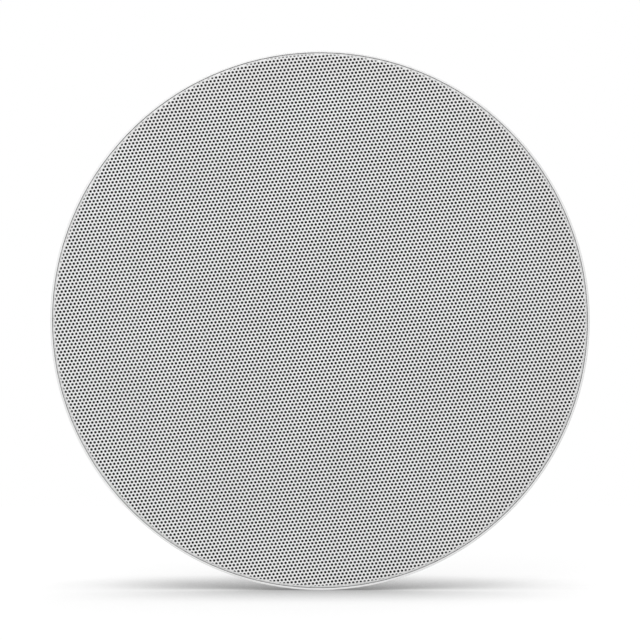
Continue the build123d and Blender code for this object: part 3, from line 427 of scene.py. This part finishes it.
def spun(profile, centre=(0, 0), steps=64):
    # a profile of radius and height, counterclockwise, turned about the upright axis through centre
    radius, height = np.asarray(profile, float).T
    angle = roundSteps(steps)[:, None]
    points = np.stack((centre[0] + np.cos(angle) * radius, centre[1] + np.sin(angle) * radius,
                       np.broadcast_to(height, (steps, len(height)))), axis=2)
    return points.reshape(-1, 3), gridFaces(steps, len(height), wrapRows=True)


spareWay = (0.37, 0.61, 0.71)  # a direction that no path takes


def tube(path, radius, sides=10):
    # a round section carried along a path, square to it; the ends close to a point
    path = np.asarray(path, float)
    ahead = np.gradient(path, axis=0)
    ahead /= np.linalg.norm(ahead, axis=1)[:, None]
    aside = np.cross(ahead, spareWay)
    aside /= np.linalg.norm(aside, axis=1)[:, None]
    above = np.cross(aside, ahead)
    angle = roundSteps(sides)[None, :, None]
    section = aside[:, None] * np.cos(angle) + above[:, None] * np.sin(angle)
    ends = [np.repeat(path[place][None, None], sides, axis=1) for place in (0, -1)]
    points = np.concatenate((ends[0], path[:, None] + radius * section, ends[1]))
    return points.reshape(-1, 3), gridFaces(len(points), sides, wrapColumns=True)


def flatBars(low, high, bottom, top):
    # one box to each pair of low and high corners, between two heights
    levels = [np.full(len(low), height) for height in (bottom, top)]
    plan = ((low, low), (high, low), (high, high), (low, high))
    corners = np.stack([
        np.column_stack((a[:, 0], b[:, 1], level)) for level in levels for a, b in plan], axis=1)
    box = np.array([(0, 1, 5, 4), (1, 2, 6, 5), (2, 3, 7, 6), (3, 0, 4, 7), (4, 5, 6, 7), (3, 2, 1, 0)])
    starts = np.arange(len(low))[:, None, None] * len(levels) * len(plan)
    return corners.reshape(-1, 3), (starts + box).reshape(-1, 4)


legs = {"gripMm": 1.0, "outMm": 2.2, "wireMm": 0.8, "steps": 10, "throughMm": 0.5, "solderMm": 1.1}
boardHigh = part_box("crossover_board")[1]
boardTop = boardHigh.z
solderSpots = []  # x, y, height and radius of each joint


def bentLeg(tip, way):
    # a component's leg: straight out of its end, a quarter circle down, then through the board
    bow = legs["outMm"] / 2 * mm
    turn = np.linspace(0, math.pi / 2, legs["steps"])
    foot = boardTop - legs["throughMm"] * mm
    out = np.concatenate(([-legs["gripMm"] * mm], bow + bow * np.sin(turn), [2 * bow]))
    height = np.concatenate(([tip[2]], tip[2] - bow * (1 - np.cos(turn)), [foot]))
    path = np.column_stack((tip[0] + way[0] * out, tip[1] + way[1] * out, height))
    solderSpots.append((path[-1][0], path[-1][1], boardTop, legs["solderMm"] * mm))
    return tube(path, legs["wireMm"] / 2 * mm)


inductors = {
    "wound": {"woofer_inductor": {"boreMm": 12.0, "wireMm": 1.0},
              "tweeter_inductor": {"boreMm": 7.0, "wireMm": 0.75}},
    "flangeMm": 1.2, "edgeMm": 1.4, "bevelMm": 0.3, "sides": 8, "perTurn": 44,
    "startTurn": -0.25,  # radians before the +X side, where the legs come out
}


def woundInductor(node, boreMm, wireMm):
    # enamelled wire laid up a helix, one turn to each wire width, between a bobbin's two flanges
    low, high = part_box(node)
    centre = (low.x + high.x) / 2, (low.y + high.y) / 2
    outer, inner = (high.x - low.x) / 2, boreMm / 2 * mm
    wire, flange, bevel = wireMm * mm, inductors["flangeMm"] * mm, inductors["bevelMm"] * mm
    reach = outer - inductors["edgeMm"] * mm
    room = high.z - low.z - 2 * flange
    turns = math.floor(room / wire) - 1
    first = inductors["startTurn"]
    angle = np.linspace(first, 2 * math.pi * turns - first, turns * inductors["perTurn"])
    lift = wire * (angle - first) / (2 * math.pi)
    rise = low.z + flange + (room - lift[-1]) / 2 + lift
    lay = reach - wire / 2
    helix = np.column_stack((centre[0] + lay * np.cos(angle), centre[1] + lay * np.sin(angle), rise))
    newPiece(node + "_winding", *tube(helix, wire / 2, inductors["sides"]), "copper", "frame", (node,))
    ends = [bentLeg(helix[end], (math.cos(angle[end]), math.sin(angle[end]))) for end in (0, -1)]
    newPiece(node + "_legs", *joined(*ends), "copper", "frame")
    core = lay - wire / 4  # just under the wire's middle, so that no gap shows between turns
    bobbin = [
        (inner, low.z), (outer - bevel, low.z), (outer, low.z + bevel), (outer, low.z + flange - bevel),
        (outer - bevel, low.z + flange), (core, low.z + flange), (core, high.z - flange),
        (outer - bevel, high.z - flange), (outer, high.z - flange + bevel), (outer, high.z - bevel),
        (outer - bevel, high.z), (inner + bevel, high.z), (inner, high.z - bevel), (inner, low.z)]
    newPiece(node + "_bobbin", *spun(bobbin, centre), "black_abs", "frame")
    return turns


turnCounts = [woundInductor(node, **wound) for node, wound in inductors["wound"].items()]
print("inductors wound with", turnCounts, "turns")

capacitors = {
    "nodes": ("woofer_capacitor", "tweeter_capacitor"),
    "endMm": 1.6, "dishMm": 0.5, "sides": 56, "flatMm": 0.2,
    # along an end, from its dish outwards: share of the end's length and of the girth
    "ends": ((0.0, 0.0), (0.0, 0.62), (0.0, 0.8), (0.33, 0.94), (1.0, 1.0)),
}


def filmCapacitor(node):
    # a wrapped roll flattened on the board, its ends cast in resin and dished, with a leg from each
    low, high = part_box(node)
    middle = (low + high) / 2
    width, half = (high.y - low.y) / 2, (high.x - low.x) / 2
    end = np.array(capacitors["ends"])
    inset = end[:, 0] * capacitors["endMm"] * mm
    inset[0] = capacitors["dishMm"] * mm
    along = np.concatenate((inset - half, half - inset[::-1]))
    girth = np.concatenate((end[:, 1], end[::-1, 1]))[:, None] * width
    angle = roundSteps(capacitors["sides"])
    x = np.broadcast_to(middle.x + along[:, None], (len(along), len(angle)))
    y = middle.y - girth * np.cos(angle)
    z = np.maximum(high.z - width + girth * np.sin(angle), low.z + capacitors["flatMm"] * mm)
    points = np.stack((x, y, z), axis=2).reshape(-1, 3)
    newPiece(node + "_wrap", points, gridFaces(len(along), len(angle), wrapColumns=True),
             "film_capacitor", "frame", (node,))
    ends = [bentLeg((middle.x + way * half, middle.y, middle.z), (way, 0)) for way in (-1, 1)]
    newPiece(node + "_legs", *joined(*ends), "zinc_screw", "frame")


for node in capacitors["nodes"]:
    filmCapacitor(node)
resistorLow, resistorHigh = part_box("resistor")
resistorMiddle = (resistorLow + resistorHigh) / 2
resistorEnds = [bentLeg((resistorMiddle.x, y, resistorMiddle.z), (0, way))
                for way, y in ((-1, resistorLow.y), (1, resistorHigh.y))]
newPiece("resistor_legs", *joined(*resistorEnds), "zinc_screw", "frame")
print("capacitors wrapped and legs bent")

screws = {
    # across and height of the head, and 1 where it faces up, -1 where it faces down
    "board_screws": {"acrossMm": 5.2, "tallMm": 1.8, "way": 1},
    "tray_screws": {"acrossMm": 7.2, "tallMm": 2.2, "way": 1},
    "woofer_screws": {"acrossMm": 7.2, "tallMm": 2.2, "way": -1},
}
trayScrews, wooferScrews = 2, 6  # how many of each
screwHead = {
    "around": 96, "rings": 26, "spread": 0.8,  # a spread below 1 sets the rings closer at the edge
    "shoulder": 6, "crown": 3,  # powers that square the pan head's shoulder and flatten its crown
    "barShare": 0.15, "crossShare": 0.56, "depthShare": 0.62, "edgeMm": 0.12,
    "shankShare": 0.52, "shankSteps": 24,
}


def crossHead(centre, seat, radius, height):
    # pan head h (1 - r^shoulder)^(1/crown), less two crossed bars sunk with a short ramp;
    # a height below 0 faces down
    rings = np.linspace(0, 1, screwHead["rings"]) ** screwHead["spread"]
    share = np.append(rings, 0)  # back to the axis on the seat
    angle = roundSteps(screwHead["around"])[:, None]
    u, v = np.cos(angle) * share, np.sin(angle) * share
    bar, arm = screwHead["barShare"], screwHead["crossShare"]
    upright = np.maximum(np.abs(u) - bar, np.abs(v) - arm)
    level = np.maximum(np.abs(v) - bar, np.abs(u) - arm)
    ramp = np.clip(-np.minimum(upright, level) * radius / (screwHead["edgeMm"] * mm), 0, 1)
    dome = (1 - share ** screwHead["shoulder"]) ** (1 / screwHead["crown"])
    lift = dome - ramp * screwHead["depthShare"]
    lift[:, -1] = 0
    points = np.stack((centre[0] + radius * u, centre[1] + radius * v, seat + height * lift), axis=2)
    faces = gridFaces(screwHead["around"], len(share), wrapRows=True)
    return points.reshape(-1, 3), faces if height < 0 else faces[:, ::-1]


def screwSet(node, places):
    # crossed heads on plain shanks that run to the node's far side
    low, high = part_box(node)
    way = screws[node]["way"]
    radius, height = screws[node]["acrossMm"] / 2 * mm, way * screws[node]["tallMm"] * mm
    seat = (high.z if way > 0 else low.z) - height
    bottom, top = (low.z, seat) if way > 0 else (seat, high.z)
    shank = radius * screwHead["shankShare"]
    profile = [(0, bottom), (shank, bottom), (shank, top), (0, top)]
    shapes = [shape for place in places for shape in (
        crossHead(place, seat, radius, height), spun(profile, place, screwHead["shankSteps"]))]
    newPiece(node + "_crossed", *joined(*shapes), slotOf[node], "frame", (node,))


def boxCorners(node):
    # the four places that a head's radius inside the node's box gives
    low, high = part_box(node)
    inset = screws[node]["acrossMm"] / 2 * mm
    return [(x, y) for x in (low.x + inset, high.x - inset) for y in (low.y + inset, high.y - inset)]


def boltCircle(node, count):
    # even places round a circle, the first on +X, a head's radius inside the node's box
    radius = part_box(node)[1].x - screws[node]["acrossMm"] / 2 * mm
    return [(radius * math.cos(angle), radius * math.sin(angle)) for angle in roundSteps(count)]


screwSet("board_screws", boxCorners("board_screws"))
screwSet("tray_screws", boxCorners("tray_screws")[:trayScrews])
screwSet("woofer_screws", boltCircle("woofer_screws", wooferScrews))
print("screw heads crossed")

thread = {"screws": 4, "shankMm": 4.8, "pitchMm": 0.8, "depthMm": 0.45, "around": 24, "perPitch": 5,
          "tipPitches": 2, "tipShare": 0.35, "headMm": 9.2, "headTallMm": 2.2}


def clampScrew(number):
    # right-hand thread: the radius falls by a triangle wave of height over pitch less turn
    node = "clamp_screw_" + str(number)
    low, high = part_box(node)
    centre = (low.x + high.x) / 2, (low.y + high.y) / 2
    seat = low.z + thread["headTallMm"] * mm
    pitch = thread["pitchMm"] * mm
    height = np.arange(seat, high.z, pitch / thread["perPitch"])
    angle = roundSteps(thread["around"])[:, None]
    phase = (height[None, :] - seat) / pitch - angle / (2 * math.pi)
    wave = np.abs(2 * (phase - np.floor(phase)) - 1)
    taper = np.clip((high.z - height) / (thread["tipPitches"] * pitch), thread["tipShare"], 1)
    ridge = (thread["shankMm"] / 2 - thread["depthMm"] * wave) * mm * taper
    ridge = np.pad(ridge, ((0, 0), (1, 1)))  # both ends close on the axis
    height = np.concatenate((height[:1], height, height[-1:]))
    points = np.stack((centre[0] + ridge * np.cos(angle), centre[1] + ridge * np.sin(angle),
                       np.broadcast_to(height, ridge.shape)), axis=2)
    shank = points.reshape(-1, 3), gridFaces(thread["around"], len(height), wrapRows=True)
    head = crossHead(centre, seat, thread["headMm"] / 2 * mm, -thread["headTallMm"] * mm)
    newPiece(node + "_thread", *joined(shank, head), "zinc_screw", "clamp_" + str(number) + "_screw", (node,))


for number in range(1, thread["screws"] + 1):
    clampScrew(number)
print("clamp screws threaded")

cloth = {"rings": 90, "around": 180, "waveMm": 6.0, "reliefMm": 0.05, "lapMm": 0.7}


def grilleCloth():
    # a disc of cloth bonded to the grille's back, its edge lapped on the inside of the bend;
    # its free face is quilted by a product of two sines
    low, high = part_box("grille_scrim")
    lap = cloth["lapMm"] * mm
    lapOnBlank = lap * bend / (bend - sheet)
    radius = np.append(bendStart * np.linspace(0, 1, cloth["rings"]), bendStart + lapOnBlank)
    angle = roundSteps(cloth["around"])[:, None]
    x, y = radius * np.cos(angle), radius * np.sin(angle)
    front = ontoPan(np.column_stack((x.ravel(), y.ravel())), sheet).reshape(*x.shape, 3)
    wave = 2 * math.pi / (cloth["waveMm"] * mm)
    relief = cloth["reliefMm"] * mm * (np.sin(wave * x) * np.sin(wave * y) - 1) / 2
    back = front.copy()
    back[:, :, 2] += high.z - low.z + relief
    points = np.concatenate((front, back[:, ::-1]), axis=1).reshape(-1, 3)
    faces = gridFaces(cloth["around"], 2 * len(radius), wrapRows=True)
    piece = newPiece("grille_cloth", points, faces, "black_cloth", "grille", ("grille_scrim",))


grilleCloth()
print("cloth bonded")

wholeRing = {"around": 120}  # steps in the full circle of a bending ring


def bendingRing(node, wedges, front, back):
    # a ring in wedges, each a closed profile turned through its share of the circle, from the frame to the
    # cone
    steps = wholeRing["around"] // wedges
    loop = np.concatenate((front, back[::-1]))
    near = np.arange(len(front) - 1)
    cap = np.column_stack((near, near + 1, len(loop) - 2 - near, len(loop) - 1 - near))
    skin = gridFaces(steps + 1, len(loop), wrapColumns=True)
    faces = np.concatenate((skin, cap, cap[:, ::-1] + steps * len(loop)))
    half = math.pi / wedges
    for wedge in range(wedges):
        middle = 2 * half * wedge
        angle = (middle + half * np.linspace(-1, 1, steps + 1))[:, None]
        points = np.stack((np.cos(angle) * loop[:, 0], np.sin(angle) * loop[:, 0],
                           np.broadcast_to(loop[:, 1], (steps + 1, len(loop)))), axis=2)
        piece = newPiece(node + "_wedge_" + str(wedge + 1), points.reshape(-1, 3), faces, slotOf[node],
                         None, (node,) if wedge == 0 else ())
        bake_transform(piece)


surround = {"wedges": 24, "rollMm": 5.5, "wallMm": 0.7, "outerLipMm": 4.6, "coneLipMm": 4.0, "arcSteps": 28}


def rubberSurround():
    # half roll: a semicircle between two flat lips, and the same arc one wall smaller behind it
    low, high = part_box("woofer_surround")
    roll, wall = surround["rollMm"] * mm, surround["wallMm"] * mm
    rollOuter = high.x - surround["outerLipMm"] * mm
    middle, base = rollOuter - roll, low.z + roll
    inner = middle - roll - surround["coneLipMm"] * mm
    turn = np.linspace(math.pi, 2 * math.pi, surround["arcSteps"] + 1)
    front = np.column_stack((middle + roll * np.cos(turn), base + roll * np.sin(turn)))
    back = np.column_stack((middle + (roll - wall) * np.cos(turn), base + (roll - wall) * np.sin(turn)))
    back[[0, -1], 1] = high.z
    front = np.concatenate(([(inner, base)], front, [(high.x, base)]))
    back = np.concatenate(([(inner, high.z)], back, [(high.x, high.z)]))
    bendingRing("woofer_surround", surround["wedges"], front, back)


spider = {"wedges": 12, "wallMm": 0.6, "waveMm": 1.6, "waves": 3, "neckMm": 4.0, "lipMm": 4.5, "steps": 96}


def pleatedSpider():
    # pleats: height is minus a sine of the radius between the neck and the lip, flat on both
    low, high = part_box("woofer_spider")
    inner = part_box("woofer_coil_former")[1].x
    start, stop = inner + spider["neckMm"] * mm, high.x - spider["lipMm"] * mm
    radius = np.linspace(inner, high.x, spider["steps"])
    phase = np.clip((radius - start) / (stop - start), 0, 1)
    height = low.z + spider["waveMm"] * mm * (1 - np.sin(2 * math.pi * spider["waves"] * phase))
    front = np.column_stack((radius, height))
    back = np.column_stack((radius, height + spider["wallMm"] * mm))
    bendingRing("woofer_spider", spider["wedges"], front, back)


rubberSurround()
pleatedSpider()


def tinselLeads():
    # the node's own skin, welded, running from the frame to the cone
    node = "woofer_tinsel_leads"
    mesh = bpy.data.meshes.new(node + "_bending")
    shell = bmesh.new()
    shell.from_mesh(nodes[node].data)
    bmesh.ops.remove_doubles(shell, verts=shell.verts, dist=crease["weldMm"] * mm)
    piece = dressed(node + "_bending", mesh, shell, slotOf[node], None, (node,))
    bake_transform(piece)


tail = {"steps": 12}


def tweeterTail():
    # a straight lead on the axis, in steps along its length, between the swivel and the tweeter
    low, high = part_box("tweeter_tail")
    path = [(0, 0, z) for z in np.linspace(high.z, low.z, tail["steps"])]
    piece = newPiece("tweeter_tail_bending", *tube(path, high.x), "black_lead", None, ("tweeter_tail",))
    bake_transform(piece)


tinselLeads()
tweeterTail()

gasket = {"across": 25, "around": 240, "squareness": 5, "gapMm": 0.4, "fill": 0.9}


def foamGasket():
    # crowned foam: t (1 - |s|^n)^(1/n) across its width, flat where it is glued down
    low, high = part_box("woofer_gasket")
    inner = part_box("woofer_surround")[1].x + gasket["gapMm"] * mm
    share = np.sin(np.linspace(-math.pi / 2, math.pi / 2, gasket["across"]))
    crown = (1 - np.abs(share) ** gasket["squareness"]) ** (1 / gasket["squareness"])
    radius = (inner + high.x) / 2 + (high.x - inner) / 2 * share
    front = np.column_stack((radius, high.z - (high.z - low.z) * crown))
    profile = np.concatenate((front, front[:1]))
    points, faces = spun(profile, (0, 0), gasket["around"])
    piece = newPiece("woofer_gasket_foam", points, faces, "foam", "frame", ("woofer_gasket",))


foamGasket()
print("gasket padded")

leadMm = 1.6
leadLow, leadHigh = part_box("woofer_leads")
leadRadius = leadMm / 2 * mm
leadX = leadLow.x + leadRadius, leadHigh.x - leadRadius
tagY, padY = leadLow.y + leadRadius, leadHigh.y - leadRadius
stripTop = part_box("woofer_tag_strip")[1].z
solder = {"sides": 16, "rings": 6, "tagMm": 2.2, "padMm": 2.0, "tweeterPadMm": 1.7}


def solderJoints():
    # fillets of solder: the height falls from the wire as (1 - r)^2 on a polar grid
    share = np.append(np.linspace(0, 1, solder["rings"]), 0)  # back to the wire on the board
    angle = roundSteps(solder["sides"])[:, None]
    lift = np.broadcast_to((1 - share) ** 2, (solder["sides"], len(share))).copy()
    lift[:, -1] = 0
    dome = np.stack((share * np.cos(angle), share * np.sin(angle), lift), axis=2).reshape(-1, 3)
    faces = gridFaces(solder["sides"], len(share), wrapRows=True)[:, ::-1]
    shapes = [(dome * radius + (x, y, z), faces) for x, y, z, radius in solderSpots]
    newPiece("solder_joints", *joined(*shapes), "zinc_screw", "frame")


for x in leadX:
    solderSpots.append((x, tagY, stripTop, solder["tagMm"] * mm))
    solderSpots.append((x, padY, boardTop, solder["padMm"] * mm))
solderSpots.append((0.0, boardHigh.y - solder["tweeterPadMm"] * mm, boardTop, solder["padMm"] * mm))
solderJoints()

tags = {"wideMm": 4.6, "inMm": 8.0, "outMm": 3.6, "thickMm": 0.4, "biteMm": 0.1}


def wooferTags():
    # flat brass under each lead's end, pressed a little way into the strip
    half = tags["wideMm"] / 2 * mm
    low = np.array([(x - half, tagY - tags["outMm"] * mm) for x in leadX])
    high = np.array([(x + half, tagY + tags["inMm"] * mm) for x in leadX])
    bars = flatBars(low, high, stripTop - tags["biteMm"] * mm, stripTop + tags["thickMm"] * mm)
    newPiece("woofer_tags", *bars, "brass", "frame")


traces = {
    "thickMm": 0.06, "widthMm": 2.2, "biteMm": 0.1,
    # from x, y to x, y on the board, in millimetres
    "runs": ((-4, -21, -4, -23), (-4, -23, -28, -23), (4, -21, 4, -9), (4, -9, 30, -9),
             (-31, -14, -31, 14), (0, 22.3, 0, 20), (0, 20, 28, 20), (2, 4, 2, 18),
             (-2, -4, -2, 20), (28, -4, 28, 15), (-24, 22, -4, 22), (6, -22, 30, -22)),
}


def boardTraces():
    # copper under the solder mask: one thin flat bar to each run, lapped at the corners
    runs = np.array(traces["runs"], float) * mm
    half = traces["widthMm"] / 2 * mm
    low = np.minimum(runs[:, :2], runs[:, 2:]) - half
    high = np.maximum(runs[:, :2], runs[:, 2:]) + half
    bars = flatBars(low, high, boardTop - traces["biteMm"] * mm, boardTop + traces["thickMm"] * mm)
    newPiece("board_traces", *bars, "circuit_board", "frame").data.materials[0] = traceMask


wooferTags()
boardTraces()
print("board soldered and traced")

camera = {
    "distance": 1.6,  # metres from the grille
    "widthMm": 331.9, "framePx": 640,  # what the frame takes in at the grille, and its own width
    "downPx": 0.3,  # how far the grille's centre lies below the frame's
    "sensorMm": 36.0, "clip": (0.05, 20.0),
}


def photoCamera():
    # looks along +Z with +Y at the top; the lens is as long as the width at that distance needs
    lens = bpy.data.cameras.new("camera")
    width = camera["widthMm"] * mm
    lens.sensor_width = camera["sensorMm"]
    lens.lens = camera["sensorMm"] * camera["distance"] / width
    lens.clip_start, lens.clip_end = camera["clip"]
    eye = placed("camera", lens)
    eye.location = (0.0, camera["downPx"] * width / camera["framePx"], panFront - camera["distance"])
    eye.rotation_euler = (0, math.pi, 0)
    bpy.context.scene.camera = eye


stage = {
    "aside": 1.2, "near": -0.9, "far": 0.7, "white": "#FFFFFF",
    "lit": 0.36, "glow": 0.67,  # shares of white that the lamps give, and that the camera sees anyway
    "reach": 0.1, "dark": 0.34, "open": 0.92,  # painted contact shadow: metres, openness with no glow and with all
    "sky": 0.63,  # strength of the world on the object, where the camera sees 1
}


def paleFloor():
    # a floor under the rim: part lit by the lamps, part glow that fades where the object closes it in, a
    # contact shadow painted into the floor;
    # it is clear from underneath, and casts nothing on the object
    ground, aside = cadBox[0][1], stage["aside"]
    corners = [(-aside, ground, stage["near"]), (-aside, ground, stage["far"]),
               (aside, ground, stage["far"]), (aside, ground, stage["near"])]
    mesh = bpy.data.meshes.new("floor")
    mesh.from_pydata(corners, [], [(0, 1, 2, 3)])
    floor = placed("floor", mesh)
    for rays in ("diffuse", "glossy", "transmission", "shadow"):
        setattr(floor, "visible_" + rays, False)
    paint = bpy.data.materials.new("paleFloor")
    paint.use_nodes = True
    tree = paint.node_tree
    tree.nodes.clear()
    white = hexLinear(stage["white"])
    grey = [channel * stage["lit"] for channel in white[:3]] + [1.0]
    matt = addNode(tree, "ShaderNodeBsdfDiffuse", None, {"Color": grey})
    openness = addNode(tree, "ShaderNodeAmbientOcclusion", None, {"Distance": stage["reach"]}).outputs["AO"]
    # the glow dims with ambient occlusion near the object: a contact shadow painted into the floor
    glow = addNode(tree, "ShaderNodeMapRange", None, {
        "Value": openness, "From Min": stage["dark"], "From Max": stage["open"],
        "To Max": stage["glow"]}).outputs["Result"]
    contactShadowGlow = addNode(tree, "ShaderNodeEmission", None, {"Color": white, "Strength": glow})
    front = addNode(tree, "ShaderNodeAddShader", None, {0: matt.outputs[0], 1: contactShadowGlow.outputs[0]})
    clear = addNode(tree, "ShaderNodeBsdfTransparent")
    under = addNode(tree, "ShaderNodeNewGeometry").outputs["Backfacing"]
    both = addNode(tree, "ShaderNodeMixShader", None, {0: under, 1: front.outputs[0], 2: clear.outputs[0]})
    addNode(tree, "ShaderNodeOutputMaterial", None, {"Surface": both.outputs[0]})
    mesh.materials.append(paint)


def studioSky():
    # white to the camera and in reflections, and a plain level of light on the object
    world = bpy.data.worlds.new("studio")
    world.use_nodes = True
    bpy.context.scene.world = world
    tree = world.node_tree
    tree.nodes.clear()
    rays = addNode(tree, "ShaderNodeLightPath")
    direct = addNode(tree, "ShaderNodeMath", {"operation": "MAXIMUM"}, {
        0: rays.outputs["Is Camera Ray"], 1: rays.outputs["Is Glossy Ray"]})
    shown = addNode(tree, "ShaderNodeMath", {"operation": "MAXIMUM"}, {
        0: direct.outputs[0], 1: rays.outputs["Is Transmission Ray"]})
    level = addNode(tree, "ShaderNodeMapRange", None, {
        "Value": shown.outputs[0], "To Min": stage["sky"], "To Max": 1.0})
    sky = addNode(tree, "ShaderNodeBackground", None, {
        "Color": hexLinear(stage["white"]), "Strength": level.outputs["Result"]})
    addNode(tree, "ShaderNodeOutputWorld", None, {"Surface": sky.outputs[0]})


softboxes = {
    # place, aim, side in metres, watts
    "front_softbox": ((0.5, 0.9, -1.9), (0.0, 0.0, 0.0), 1.4, 16.5),
    "top_softbox": ((0.0, 1.5, 0.5), (0.0, -0.14, 0.0), 1.2, 7.0),
    "rear_softbox": ((-0.9, 0.7, 1.5), (0.0, 0.0, 0.05), 1.2, 6.5),
}


def softbox(name, place, aim, side, watts):
    # a square lamp at its place, turned to its aim
    lamp = bpy.data.lights.new(name, "AREA")
    lamp.shape, lamp.size, lamp.energy = "SQUARE", side, watts
    box = placed(name, lamp)
    box.location = place
    box.rotation_euler = (Vector(aim) - Vector(place)).to_track_quat("-Z", "Y").to_euler()


photoCamera()
paleFloor()
studioSky()
for name, settings in softboxes.items():
    softbox(name, *settings)
bpy.context.scene.view_settings.view_transform = "Standard"
print("camera, floor and light set")
